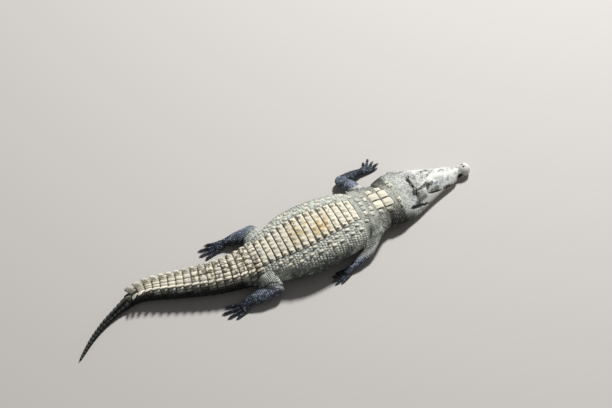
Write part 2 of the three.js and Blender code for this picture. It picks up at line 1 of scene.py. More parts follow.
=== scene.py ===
"""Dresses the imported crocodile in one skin, its armour of scales, eyes, teeth and claws.

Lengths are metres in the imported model's frame: the animal lies along X with its
snout towards +X, its left side towards +Y, and the floor at z 0.
"""

import json
import logging
import math
from collections.abc import Callable, Iterable, Sequence
from dataclasses import dataclass, field, replace
from enum import Enum

import bmesh
import bpy
import numpy as np
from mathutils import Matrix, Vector
from mathutils.bvhtree import BVHTree
from mathutils.kdtree import KDTree

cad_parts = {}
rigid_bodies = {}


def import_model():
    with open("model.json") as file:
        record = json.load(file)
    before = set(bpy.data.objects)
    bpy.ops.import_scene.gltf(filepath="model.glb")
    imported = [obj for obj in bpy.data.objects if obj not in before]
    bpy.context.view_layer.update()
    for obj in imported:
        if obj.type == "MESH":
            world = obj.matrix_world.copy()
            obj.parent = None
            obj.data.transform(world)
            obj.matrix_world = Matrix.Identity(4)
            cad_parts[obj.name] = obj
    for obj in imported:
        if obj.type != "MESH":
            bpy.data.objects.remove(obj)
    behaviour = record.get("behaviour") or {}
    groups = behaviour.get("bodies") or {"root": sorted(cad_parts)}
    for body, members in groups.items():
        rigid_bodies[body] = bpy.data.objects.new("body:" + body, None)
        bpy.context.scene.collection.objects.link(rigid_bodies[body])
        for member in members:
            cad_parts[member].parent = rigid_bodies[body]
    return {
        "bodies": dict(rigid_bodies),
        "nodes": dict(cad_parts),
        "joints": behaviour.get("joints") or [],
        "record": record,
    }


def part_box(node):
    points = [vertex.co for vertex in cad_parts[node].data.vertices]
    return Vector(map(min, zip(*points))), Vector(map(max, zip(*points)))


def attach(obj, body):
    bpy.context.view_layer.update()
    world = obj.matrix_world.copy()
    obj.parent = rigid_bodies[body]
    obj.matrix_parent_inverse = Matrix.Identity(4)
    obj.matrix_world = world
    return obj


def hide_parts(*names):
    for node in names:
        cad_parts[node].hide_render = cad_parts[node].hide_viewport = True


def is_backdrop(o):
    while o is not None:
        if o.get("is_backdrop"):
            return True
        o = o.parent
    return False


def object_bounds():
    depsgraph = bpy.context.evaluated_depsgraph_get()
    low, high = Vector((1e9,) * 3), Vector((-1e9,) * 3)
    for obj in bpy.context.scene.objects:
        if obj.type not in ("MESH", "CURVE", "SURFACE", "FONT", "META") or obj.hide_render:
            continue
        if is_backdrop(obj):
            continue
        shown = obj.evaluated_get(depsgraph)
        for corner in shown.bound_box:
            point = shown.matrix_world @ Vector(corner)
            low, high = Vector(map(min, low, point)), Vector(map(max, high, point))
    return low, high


LOG = logging.getLogger("crocodile")
ROOT = "root"
WELD = 1e-5
UP = np.array([0.0, 0.0, 1.0])
TRUNK_NODES = ("neck", "trunk_front", "trunk_mid", "trunk_rear")
TAIL_NODES = ("tail_1", "tail_2", "tail_3", "tail_4", "tail_5")
SEED = 7
SKIN_OVER_FLOOR = 0.0003
SCALES_OVER_FLOOR = 0.0002
SIDES = (-1.0, 1.0)

Array = np.ndarray
Arrays = tuple[Array, ...]
Pair = tuple[float, float]
Triple = tuple[float, float, float]
Quad = tuple[float, float, float, float]
Colour = Triple
Form = bmesh.types.BMesh
Corner = bmesh.types.BMVert
Mesh = bpy.types.Mesh
Piece = bpy.types.Object
Nodes = dict[str, Piece]
Material = bpy.types.Material
Socket = bpy.types.NodeSocket
Thickness = Callable[[Array, Array], Array]
Band = Callable[[float], Pair]


class Slot(Enum):
    """The record's finishes."""

    HEAD = "hide_head"
    BACK = "hide_back"
    TAIL_END = "hide_tail_end"
    LEG = "hide_leg"
    EYE = "eye"
    CLAW = "claw"


class Side(Enum):
    """Which side of the animal, as the sign of its own left."""

    LEFT = 1
    RIGHT = -1


# ---------------------------------------------------------------- small helpers


def unit(vectors: Array) -> Array:
    """Vectors scaled to length one along the last axis."""
    return vectors / np.maximum(np.linalg.norm(vectors, axis=-1, keepdims=True), 1e-12)


def ease(values: Array, low: float, high: float) -> Array:
    """Smooth step from 0 at low to 1 at high."""
    share = np.clip((values - low) / (high - low), 0, 1)
    return share * share * (3 - 2 * share)


def window(values: Array, low: float, high: float, soft: float) -> Array:
    """1 between low and high, fading to 0 over soft outside them."""
    return ease(values, low - soft, low) * (1 - ease(values, high, high + soft))


def blurred(grid: Array, sigma: float, axis: int, ring: bool = False) -> Array:
    """Gaussian blur along one axis.

    Args:
        grid: values to blur.
        sigma: width of the blur in samples.
        axis: the axis to blur along.
        ring: the axis closes on itself, with its last sample equal to its first.

    Returns:
        The blurred values, of the same shape.
    """
    reach = int(3 * sigma) + 1
    weights = np.exp(-0.5 * (np.arange(-reach, reach + 1) / sigma) ** 2)
    weights /= weights.sum()
    values = np.moveaxis(grid, axis, 0)
    if ring:
        values = values[:-1]
    pad = [(reach, reach)] + [(0, 0)] * (values.ndim - 1)
    odd = {} if ring else {"reflect_type": "odd"}
    wide = np.pad(values, pad, "wrap" if ring else "reflect", **odd)
    count = values.shape[0]
    total = sum(w * wide[k : k + count] for k, w in enumerate(weights))
    if ring:
        total = np.concatenate([total, total[:1]])
    return np.moveaxis(total, 0, axis)


def opened(grid: Array, reach: int) -> Array:
    """Lower envelope along the first axis: bumps shorter than the reach are taken off.

    Args:
        grid: values to lower.
        reach: how many samples each way a bump has to fill to stay.

    Returns:
        The lowered values.
    """
    count = grid.shape[0]

    def sweep(values: Array, pick: Callable[..., Array]) -> Array:
        """Picks the least or greatest value within the reach."""
        wide = np.pad(values, [(reach, reach), (0, 0)], mode="edge")
        return pick([wide[k : k + count] for k in range(2 * reach + 1)], axis=0)

    return sweep(sweep(grid, np.min), np.max)


def resampled(points: Array, step: float) -> Array:
    """A polyline laid out again at even steps.

    Args:
        points: (n, k) corners of the line.
        step: about how far apart the new ones lie.

    Returns:
        The new points, from end to end.
    """
    arcs = np.concatenate([[0], np.cumsum(np.linalg.norm(np.diff(points, axis=0), axis=1))])
    count = max(int(round(arcs[-1] / step)), 4)
    wanted = np.linspace(0, arcs[-1], count + 1)
    return np.stack([np.interp(wanted, arcs, points[:, k]) for k in range(points.shape[1])], 1)


def set_point_data(mesh: Mesh, **layers: Array) -> None:
    """Stores per-vertex numbers or vectors under their names.

    Args:
        mesh: the mesh that takes them.
        layers: a number or a vector for each vertex.
    """
    for name, values in layers.items():
        kind = "FLOAT" if values.ndim == 1 else "FLOAT_VECTOR"
        layer = mesh.attributes.new(name, kind, "POINT")
        key = "value" if values.ndim == 1 else "vector"
        layer.data.foreach_set(key, np.ascontiguousarray(values, np.float32).ravel())


def mesh_from_quads(name: str, corners: Array, quads: Array, spread: Array) -> Mesh:
    """A mesh of quads laid out by array.

    Args:
        name: the mesh's name.
        corners: (n, 3) places of the vertices.
        quads: (q, 4) vertex numbers of the faces.
        spread: (n, 2) place of each vertex on the unwrap of the skin.

    Returns:
        The new mesh, with its OFBake map.
    """
    mesh = bpy.data.meshes.new(name)
    mesh.vertices.add(len(corners))
    mesh.vertices.foreach_set("co", corners.astype(np.float32).ravel())
    mesh.loops.add(quads.size)
    mesh.loops.foreach_set("vertex_index", quads.astype(np.int32).ravel())
    mesh.polygons.add(len(quads))
    mesh.polygons.foreach_set("loop_start", np.arange(0, quads.size, 4, dtype=np.int32))
    mesh.update(calc_edges=True)
    layer = mesh.uv_layers.new(name="OFBake")
    layer.data.foreach_set("uv", spread[quads.ravel()].astype(np.float32).ravel())
    mesh.shade_smooth()
    return mesh


def mesh_of(form: Form, name: str = "draft") -> Mesh:
    """A smooth mesh made of a form, which is used up.

    Args:
        form: what the mesh is made of.
        name: the mesh's name.

    Returns:
        The mesh.
    """
    mesh = bpy.data.meshes.new(name)
    form.to_mesh(mesh)
    form.free()
    mesh.shade_smooth()
    return mesh


def join_into(form: Form, part: Form) -> None:
    """Adds one form to another, and uses it up.

    Args:
        form: what takes the part.
        part: the part.
    """
    draft = mesh_of(part)
    form.from_mesh(draft)
    bpy.data.meshes.remove(draft)


def linked(name: str, data: bpy.types.ID) -> Piece:
    """A new object in the scene.

    Args:
        name: the object's name.
        data: its mesh, lamp or camera.

    Returns:
        The object.
    """
    thing = bpy.data.objects.new(name, data)
    bpy.context.scene.collection.objects.link(thing)
    return thing


def put_in_scene(mesh: Mesh, name: str, slot: Slot, material: Material) -> Piece:
    """Adds a finished mesh to the scene as a piece that rides on the animal.

    Args:
        mesh: the shape.
        name: the piece's name.
        slot: the finish that the record gives it; not used.
        material: what it is dressed in.

    Returns:
        The piece.
    """
    piece = linked(name, mesh)
    mesh.materials.clear()
    mesh.materials.append(material)
    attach(piece, ROOT)
    LOG.info("%s: %d faces", name, len(mesh.polygons))
    return piece


class Solids:
    """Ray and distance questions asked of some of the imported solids."""

    def __init__(self, nodes: Nodes, names: Iterable[str]) -> None:
        """Welds copies of the named nodes into one shape to measure.

        Args:
            nodes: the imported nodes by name.
            names: those that are measured.
        """
        form = bmesh.new()
        for name in names:
            form.from_mesh(nodes[name].data)
        bmesh.ops.remove_doubles(form, verts=form.verts, dist=WELD)
        self.tree = BVHTree.FromBMesh(form)
        self.corners = np.array([corner.co for corner in form.verts])
        form.free()

    def radius(self, centre: Array, direction: Array, reach: float) -> float:
        """Distance from a centre out to the surface, looked for from outside.

        Args:
            centre: where the ray is aimed.
            direction: unit vector outwards.
            reach: how far out the ray starts.

        Returns:
            The distance, or nan where the ray meets nothing.
        """
        start = Vector(centre + direction * reach)
        hit = self.tree.ray_cast(start, Vector(-direction), reach)
        return math.nan if hit[0] is None else reach - hit[3]

    def top(self, x: float, y: float) -> float:
        """Height of the surface over a place on the floor."""
        hit = self.tree.ray_cast(Vector((x, y, 1.0)), Vector((0, 0, -1)), 1.1)
        return math.nan if hit[0] is None else hit[0].z


def nearest(spots: Array) -> KDTree:
    """A tree that finds the spot nearest to a place.

    Args:
        spots: (n, 3) places.

    Returns:
        The tree, which numbers the spots in order.
    """
    tree = KDTree(len(spots))
    for number, spot in enumerate(spots):
        tree.insert(spot, number)
    tree.balance()
    return tree


def meeting_place(one: Solids, other: Solids, gap: float = 0.0012) -> Array:
    """Centre of the faces where two neighbouring solids meet."""
    close = [c for c in one.corners if other.tree.find_nearest(Vector(c), gap)[0] is not None]
    return np.mean(close, axis=0)


# ---------------------------------------------------------------- the hide's own surface


@dataclass(frozen=True)
class Fold:
    """One crease round part of the body, with painted shade in it."""

    along: float
    share: Pair
    depth: float
    width: float
    # How much painted shade the crease takes.
    dark: float
    slant: float = 0.0

    def shape(self, along: Array, share: Array) -> Array:
        """How deep in the crease each place is, from 0 to 1.

        Args:
            along: metres down the axis.
            share: place across, from -1 to 1.

        Returns:
            The share of the depth at each place.
        """
        low, high = self.share
        round_back = np.abs(share)
        line = self.along + self.slant * (round_back - 0.5)
        side = window(round_back, low, high, 0.12)
        return np.exp(-(((along - line) / self.width) ** 2)) * side


@dataclass
class Hide:
    """Surface under the scales of one long part, in coordinates of its own.

    Along is metres down the part's axis. Across is metres round from the middle
    of its back, positive to the left of the way the axis runs as seen from above.
    """

    name: str
    points: Array
    normals: Array
    half: Array
    step: float
    station: float
    limb: float
    patch: Quad
    folds: tuple["Fold", ...] = ()
    lies: Array | None = None

    @property
    def length(self) -> float:
        """Length of the axis."""
        return self.step * (len(self.points) - 1)

    @property
    def arcs(self) -> Array:
        """Places of the sections along the axis."""
        return np.arange(len(self.points)) * self.step

    def half_girth(self, along: Array) -> Array:
        """Metres from the middle of the back round to the middle of the belly."""
        return np.interp(along, self.arcs, self.half)

    def _between(self, grid: Array, along: Array, share: Array) -> Array:
        """Grid values at any place, blended from the four samples round it.

        Args:
            grid: values at the hide's samples.
            along: metres down the axis.
            share: place across, from -1 to 1.

        Returns:
            The values there.
        """
        rows, columns = grid.shape[:2]
        i = np.clip(along / self.step, 0, rows - 1.0001)
        j = np.clip((share + 1) / 2 * (columns - 1), 0, columns - 1.0001)
        i0, j0 = i.astype(int), j.astype(int)
        fi, fj = (i - i0)[..., None], (j - j0)[..., None]
        near = grid[i0, j0] * (1 - fj) + grid[i0, j0 + 1] * fj
        far = grid[i0 + 1, j0] * (1 - fj) + grid[i0 + 1, j0 + 1] * fj
        return near * (1 - fi) + far * fi

    def place(self, along: Array, across: Array, height: Array) -> Array:
        """Places at some height over the hide.

        Args:
            along: metres down the axis.
            across: metres round from the middle of the back.
            height: metres above the hide.

        Returns:
            Places in the model's frame.
        """
        share = across / self.half_girth(along)
        base = self._between(self.points, along, share)
        return base + unit(self._between(self.normals, along, share)) * height[..., None]

    def lie(self, along: Array, across: Array) -> Array:
        """What the markings follow: station, nearness to the back, and share of the limb.

        Args:
            along: metres down the axis.
            across: metres round from the middle of the back.

        Returns:
            (..., 3) station, back and limb.
        """
        if self.lies is not None:
            return self._between(self.lies, along, across / self.half_girth(along))
        back = 1 - np.abs(across) / self.half_girth(along)
        limb = np.zeros_like(along)
        if self.limb:
            limb = (0.02 + 0.98 * np.clip(along / self.length, 0.0, 1.0)) ** self.limb
        station = self.station + (0 if self.limb else 1) * along
        return np.stack([station, back, limb], -1)

    def spread(self, along: Array, across: Array) -> Array:
        """Place on the unwrap of the skin.

        Args:
            along: metres down the axis.
            across: metres round from the middle of the back.

        Returns:
            (..., 2) place on the unwrap.
        """
        left, low, wide, high = self.patch
        share = (across / self.half_girth(along) + 1) / 2
        return np.stack([left + wide * along / self.length, low + high * share], -1)

    def shades(self, along: Array, across: Array) -> Array:
        """How much painted shade the folds put at each place.

        Args:
            along: metres down the axis.
            across: metres round from the middle of the back.

        Returns:
            The darkness, from 0 to 1.
        """
        share = across / self.half_girth(along)
        dark = np.zeros_like(along)
        for fold in self.folds:
            dark = np.maximum(dark, fold.dark * fold.shape(along, share))
        return dark

    def grid(self) -> Arrays:
        """Places of the samples, and what the markings follow there.

        Returns:
            (n, 3) places, and (n, 3) station, back and limb.
        """
        rows, columns = self.points.shape[:2]
        share = np.broadcast_to(np.linspace(-1, 1, columns), (rows, columns)).ravel()
        along = np.repeat(self.arcs, columns)
        return self.points.reshape(-1, 3), self.lie(along, share * self.half_girth(along))

    def paler_near(self, spots: Array, level: float, reach: float) -> "Hide":
        """The same hide, whose markings turn to those of the upper flank near some spots.

        Args:
            spots: (n, 3) places.
            level: how near to the back the markings go.
            reach: where this ends, in metres.

        Returns:
            The new hide.
        """
        tree = nearest(spots)
        places, lies = self.grid()
        near = 1 - ease(np.array([tree.find(place)[2] for place in places]), 0.02, reach)
        lies[:, 1] += np.maximum(level - lies[:, 1], 0.0) * near
        return replace(self, lies=lies.reshape(self.points.shape))

    def marked_from(self, body: "Hide", reach: float) -> "Hide":
        """The same hide, whose markings run on from the body's near to it.

        Args:
            body: the body's hide.
            reach: where its markings end, in metres from it.

        Returns:
            The new hide.
        """
        spots, lies = body.grid()
        tree = nearest(spots)
        places, own = self.grid()
        found = [tree.find(place) for place in places]
        share = 1 - ease(np.array([distance for _, _, distance in found]), 0.0, reach)
        lie = own + (lies[[number for _, number, _ in found]] - own) * share[:, None]
        return replace(self, lies=lie.reshape(self.points.shape))

    def folded(self, folds: tuple["Fold", ...]) -> "Hide":
        """The same hide with creases pressed into it.

        Args:
            folds: the creases.

        Returns:
            The new hide.
        """
        share = np.linspace(-1, 1, self.points.shape[1])[None]
        depth = sum(fold.depth * fold.shape(self.arcs[:, None], share) for fold in folds)
        points = self.points - self.normals * depth[..., None]
        return replace(self, points=points, folds=folds)

    def sunk(self, length: float, drop: float) -> "Hide":
        """The same hide with its first stretch lowered into the body."""
        lower = drop * (1 - ease(self.arcs, 0.0, length))
        return replace(self, points=self.points - lower[:, None, None] * UP)

    def tree(self) -> BVHTree:
        """The hide as a closed tube to measure from.

        Returns:
            The tree.
        """
        form = bmesh.new()
        self.tube(form)
        bmesh.ops.recalc_face_normals(form, faces=form.faces)
        tree = BVHTree.FromBMesh(form)
        form.free()
        return tree

    def tube(self, form: Form) -> None:
        """Adds the hide to a mesh as a closed tube.

        Args:
            form: the mesh that takes it.
        """
        rows, columns = self.points.shape[:2]
        made = bmesh.ops.create_grid(form, x_segments=rows - 1, y_segments=columns - 1, size=1)
        for corner in made["verts"]:
            i = round((corner.co.x + 1) / 2 * (rows - 1))
            j = round((corner.co.y + 1) / 2 * (columns - 1))
            corner.co = self.points[i, j]
        bmesh.ops.remove_doubles(form, verts=made["verts"], dist=WELD)
        bmesh.ops.holes_fill(form, edges=[e for e in form.edges if e.is_boundary], sides=0)


@dataclass
class HideTailor:
    """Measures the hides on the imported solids."""

    facets: int = 96
    step: float = 0.010
    turn_length: float = 0.16

    def wrap(
        self, name: str, axis: Array, solids: Solids, reach: float, depth: Thickness, *,
        opening: int = 0, blur: Pair = (1.2, 1.6), station: float = 0.0, limb: float = 0.0,
        patch: Quad = (0.01, 0.01, 0.98, 0.6), lead: Array | None = None
    ) -> Hide:
        """Measures one hide round an axis.

        Args:
            name: the hide's name.
            axis: (n, 3) centres of the sections, at even steps.
            solids: what to measure.
            reach: how far outside the axis the measuring starts.
            depth: thickness of the coat, from along and the share across.
            opening: samples along over which crest blades are taken off.
            blur: softening along and across, in samples.
            station: metres from the snout to where the axis starts.
            limb: how late down a limb its own colours set in, or 0 for the body.
            patch: left, low, wide, high of its place on the unwrap.
            lead: direction that the first sections face, where it isn't the axis's own.

        Returns:
            The hide, under the coat.
        """
        step = float(np.linalg.norm(np.diff(axis, axis=0), axis=1).mean())
        forward = unit(blurred(np.gradient(axis, axis=0), 1.5, 0))
        if lead is not None:
            turn = ease(np.arange(len(axis))[:, None] * step, 0.0, self.turn_length)
            forward = unit(lead * (1 - turn) + forward * turn)
        up = unit(UP - forward * forward[:, 2:3])
        side = np.cross(forward, up)
        angles = np.linspace(-math.pi, math.pi, self.facets + 1)
        cos, sin = np.cos(angles)[None, :, None], np.sin(angles)[None, :, None]
        rays = cos * up[:, None] + sin * side[:, None]
        radii = np.array(
            [[solids.radius(c, ray, reach) for ray in row] for c, row in zip(axis, rays)]
        )
        radii = self._filled(radii)
        if opening:
            radii = opened(radii, opening)
        radii = blurred(blurred(radii, blur[0], 0), blur[1], 1, ring=True)
        points = axis[:, None] + rays * radii[..., None]
        points, half = self._even_across(points)
        normals = self._normals(points)
        share = np.linspace(-1, 1, self.facets + 1)
        arcs = np.arange(len(axis)) * step
        thick = depth(arcs[:, None], np.abs(share)[None, :])
        points = points - normals * thick[..., None]
        return Hide(name, points, self._normals(points), half, step, station, limb, patch)

    def _filled(self, radii: Array) -> Array:
        """Fills what no ray met from its neighbours round and along.

        Args:
            radii: distances by section and angle, with nan for a ray that met nothing.

        Returns:
            The distances without gaps.
        """
        rows = []
        for row in radii:
            known = ~np.isnan(row)
            spots = np.arange(len(row))
            rows.append(np.interp(spots, spots[known], row[known]) if known.sum() > 3 else row)
        grid = np.array(rows)
        whole = ~np.isnan(grid).any(axis=1)
        spots = np.arange(len(grid))
        return grid[spots[whole][np.abs(spots[:, None] - spots[whole][None]).argmin(1)]]

    def _even_across(self, points: Array) -> Arrays:
        """Spreads the samples of each section evenly by the metres round it.

        Args:
            points: (sections, samples, 3) places.

        Returns:
            The places laid out anew, and half the girth of each section.
        """
        middle = self.facets // 2
        share = np.linspace(-1, 1, self.facets + 1)
        grid, halves = [], []
        for ring in points:
            steps = np.linalg.norm(np.diff(ring, axis=0), axis=1)
            arc = np.concatenate([[0], np.cumsum(steps)])
            arc -= arc[middle]
            half = (arc[-1] - arc[0]) / 2
            place = np.where(arc < 0, arc / -arc[0], arc / arc[-1])
            grid.append(np.stack([np.interp(share, place, ring[:, k]) for k in range(3)], 1))
            halves.append(half)
        return np.array(grid), np.array(halves)

    @staticmethod
    def _normals(points: Array) -> Array:
        """Outward normals of a grid of points.

        Args:
            points: (sections, samples, 3) places.

        Returns:
            Unit vectors of the same shape.
        """
        down = np.gradient(points, axis=0)
        ring = np.concatenate([points[:, -2:-1], points, points[:, 1:2]], axis=1)
        round_ = (ring[:, 2:] - ring[:, :-2]) / 2
        return unit(np.cross(round_, down))


# ---------------------------------------------------------------- scales


@dataclass(frozen=True)
class ScaleForm:
    """Shape of one kind of scale, over a square that runs 1 each way from its middle."""

    cells: tuple[int, int]
    corner: float = 4.0
    bevel: float = 0.14
    rim: float = 0.62
    keel_width: float = 0.35
    keel_peak: float = 0.45
    keel_flat: float = 0.0
    rear_lift: float = 0.0
    lean: float = 0.0
    splay: float = 0.0
    # Middle, side, length and width of the painted shadow beside the keel, over the scale's
    # square.
    stain: Quad = (0.0, 0.0, 1.0, 1.0)

    def build(self) -> "ScaleMould":
        """Models the scale and reads its parts off as arrays.

        Returns:
            The mould, to be stamped many times.
        """
        form = bmesh.new()
        along, across = self.cells
        bmesh.ops.create_grid(form, x_segments=along, y_segments=across, size=1)
        for corner in form.verts:
            x, y = corner.co.x, corner.co.y
            reach = max(abs(x), abs(y))
            if reach > 0:
                power = self.corner
                scale = (abs(x / reach) ** power + abs(y / reach) ** power) ** (-1 / power)
                corner.co.x, corner.co.y = x * scale, y * scale
            corner.co.z = 1 - (1 - self.rim) * reach**2.6
        edges = [edge for edge in form.edges if edge.is_boundary]
        top = set(form.verts)
        bmesh.ops.extrude_edge_only(form, edges=edges)
        for corner in form.verts:
            if corner in top:
                corner.co.x *= 1 - self.bevel
                corner.co.y *= 1 - self.bevel
            else:
                corner.co.z = 0
        bmesh.ops.recalc_face_normals(form, faces=form.faces)
        if sum(face.normal.z for face in form.faces) < 0:
            bmesh.ops.reverse_faces(form, faces=form.faces)
        form.verts.index_update()
        places = np.array([corner.co for corner in form.verts])
        quads = np.array([[corner.index for corner in face.verts] for face in form.faces])
        form.free()
        return ScaleMould(self, places, quads)


@dataclass(frozen=True)
class ScaleMould:
    """A scale's parts as arrays: places over its square, and faces."""

    form: ScaleForm
    places: Array
    quads: Array

    @property
    def ridge(self) -> Array:
        """How much of the keel's height each vertex takes.

        Returns:
            Shares of the height, from 0 to 1.
        """
        form = self.form
        u, v, z = self.places.T
        width = np.clip(1 - np.abs(v) / form.keel_width, 0, 1)
        rise = ease(u, -1.0, form.keel_peak - form.keel_flat)
        fall = 1 - ease(u, form.keel_peak + form.keel_flat, 1.02)
        return width * np.minimum(rise, fall) * (z > 0)

    @property
    def stain(self) -> Array:
        """How much of the painted keel shadow each vertex takes.

        Returns:
            Shares of the mark, from 0 to 1.
        """
        u, v, z = self.places.T
        middle, side, long, wide = self.form.stain
        patch = np.exp(-(((u - middle) / long) ** 2) - ((v - side) / wide) ** 2)
        return patch * (z > 0)

    @property
    def plate(self) -> Array:
        """How much of the plate's height each vertex takes."""
        u, _, z = self.places.T
        return z * (1 + self.form.rear_lift * u)


@dataclass
class Spots:
    """Where scales sit on a hide, and how large each is."""

    along: Array
    across: Array
    length: Array
    width: Array
    plate: Array
    keel: Array
    cream: Array
    turn: Array
    # Strength of the painted keel shadow of each scale.
    stain: Array
    shift: Array

    @classmethod
    def at(cls, along: Array | float, across: Array | float, **sizes: Array | float) -> "Spots":
        """Spots whose places and sizes are each a number or an array.

        Args:
            along: metres down the hide.
            across: metres round from the middle of its back.
            sizes: any of the other fields.

        Returns:
            The spots, each 0 in what is not given.
        """
        count = max(np.size(along), np.size(across))
        values = {"along": along, "across": across, **sizes}
        filled = {
            key: np.broadcast_to(np.asarray(values.get(key, 0.0), float), (count,)).copy()
            for key in cls.__dataclass_fields__
        }
        return cls(**{**filled, "shift": np.zeros((count, 3))})

    @classmethod
    def joined(cls, groups: Sequence["Spots"]) -> "Spots":
        """Several groups as one."""
        names = cls.__dataclass_fields__
        return cls(**{k: np.concatenate([getattr(g, k) for g in groups]) for k in names})

    def kept(self, mask: Array) -> "Spots":
        """Only the spots where the mask is true."""
        return Spots(**{k: getattr(self, k)[mask] for k in self.__dataclass_fields__})

    def clear_of(self, others: "Spots", margin: float = 0.9) -> "Spots":
        """Only the spots whose middle isn't under a larger scale.

        Args:
            others: the larger scales.
            margin: share of a larger scale that counts.

        Returns:
            The spots that stay.
        """
        du = np.abs(self.along[:, None] - others.along[None])
        dv = np.abs(self.across[:, None] - others.across[None])
        near_u = du < others.length[None] / 2 * margin + self.length[:, None] * 0.22
        near_v = dv < others.width[None] / 2 * margin + self.width[:, None] * 0.22
        return self.kept(~(near_u & near_v).any(axis=1))


@dataclass
class Coat:
    """One piece made of many scales."""

    name: str
    slot: Slot
    material: Material
    seed: int = SEED
    sink: float = 0.0025
    stamped: list[Arrays] = field(default_factory=list)
    count: int = 0

    def stamp(self, hide: Hide, mould: ScaleMould, spots: Spots) -> None:
        """Presses one kind of scale onto a hide at every spot.

        Args:
            hide: what the scales lie on.
            mould: the kind of scale.
            spots: where they sit and how large they are.
        """
        u, v, z = mould.places.T
        ridge, plate = mould.ridge, mould.plate
        lean = mould.form.lean * ridge
        du = spots.length[:, None] / 2 * u[None] + spots.keel[:, None] * lean[None]
        dv = spots.width[:, None] / 2 * v[None]
        cos, sin = np.cos(spots.turn)[:, None], np.sin(spots.turn)[:, None]
        along = spots.along[:, None] + du * cos - dv * sin
        across = spots.across[:, None] + du * sin + dv * cos
        outward = np.sign(spots.across)[:, None] * mould.form.splay
        across = across + spots.keel[:, None] * ridge[None] * outward
        height = spots.plate[:, None] * plate[None] + spots.keel[:, None] * ridge[None]
        height = np.where(z[None] > 0, height, -self.sink)
        flat_along = spots.along[:, None] + spots.length[:, None] / 2 * u[None]
        luck = np.random.default_rng(self.seed + self.count).random(len(spots.along))
        rise = np.clip(z, 0, 1)[None] * np.ones_like(along)
        scale = np.stack([rise, luck[:, None] + 0 * rise, spots.cream[:, None] + 0 * rise], -1)
        # Painted shade of the hide's folds, and the painted shadows beside keels.
        mark = np.maximum(hide.shades(along, across), spots.stain[:, None] * mould.stain[None])
        number, size = along.shape
        first = self.count + np.arange(number)[:, None, None] * size
        self.count += number * size
        arrays = (
            hide.place(along, across, height) + spots.shift[:, None], mould.quads[None] + first,
            hide.spread(flat_along, across), hide.lie(along, across), scale
        )
        joined = [array.reshape(-1, array.shape[-1]) for array in arrays]
        self.stamped.append((*joined, mark.ravel()))

    def finish(self) -> Piece:
        """Joins the scales into one piece.

        Returns:
            The piece.
        """
        corners, quads, spread, lie, scale, mark = map(np.concatenate, zip(*self.stamped))
        corners[:, 2] = np.maximum(corners[:, 2], SCALES_OVER_FLOOR)
        mesh = mesh_from_quads(self.name, corners, quads, spread)
        set_point_data(mesh, lie=lie, scale=scale, mark=mark)
        return put_in_scene(mesh, self.name, self.slot, self.material)


# ---------------------------------------------------------------- finishes


def maths(operation: str, flipped: bool = False) -> Callable[["Num", "Num | float"], "Num"]:
    """Makes an operator of Num.

    Args:
        operation: what its Math node works out.
        flipped: the other value comes first.

    Returns:
        The operator.
    """

    def operator(one: "Num", other: "Num | float") -> "Num":
        """Adds one Math node."""
        values = (other, one) if flipped else (one, other)
        return Num(one.shop, one.shop.node("ShaderNodeMath", values, operation=operation))

    return operator


@dataclass(frozen=True)
class Num:
    """One value in a material, with Python's operators as its maths."""

    shop: "Shop"
    socket: Socket

    __add__ = __radd__ = maths("ADD")
    __sub__ = maths("SUBTRACT")
    __rsub__ = maths("SUBTRACT", flipped=True)
    __mul__ = __rmul__ = maths("MULTIPLY")
    least = maths("MINIMUM")
    most = maths("MAXIMUM")

    def eased(self, low: float, high: float) -> "Num":
        """Smooth step from 0 at low to 1 at high."""
        return self.mapped(low, high, 0.0, 1.0)

    def mapped(self, low: float, high: float, first: float, last: float) -> "Num":
        """Smoothly mapped from one range to another.

        Args:
            low: where the first range starts.
            high: where it ends.
            first: what low becomes.
            last: what high becomes.

        Returns:
            The mapped value.
        """
        values = (self, low, high, first, last)
        socket = self.shop.node("ShaderNodeMapRange", values, interpolation_type="SMOOTHSTEP")
        return Num(self.shop, socket)

    def within(self, low: float, high: float, soft: float) -> "Num":
        """1 between low and high, fading over soft outside them."""
        return self.eased(low - soft, low) * (1 - self.eased(high, high + soft))


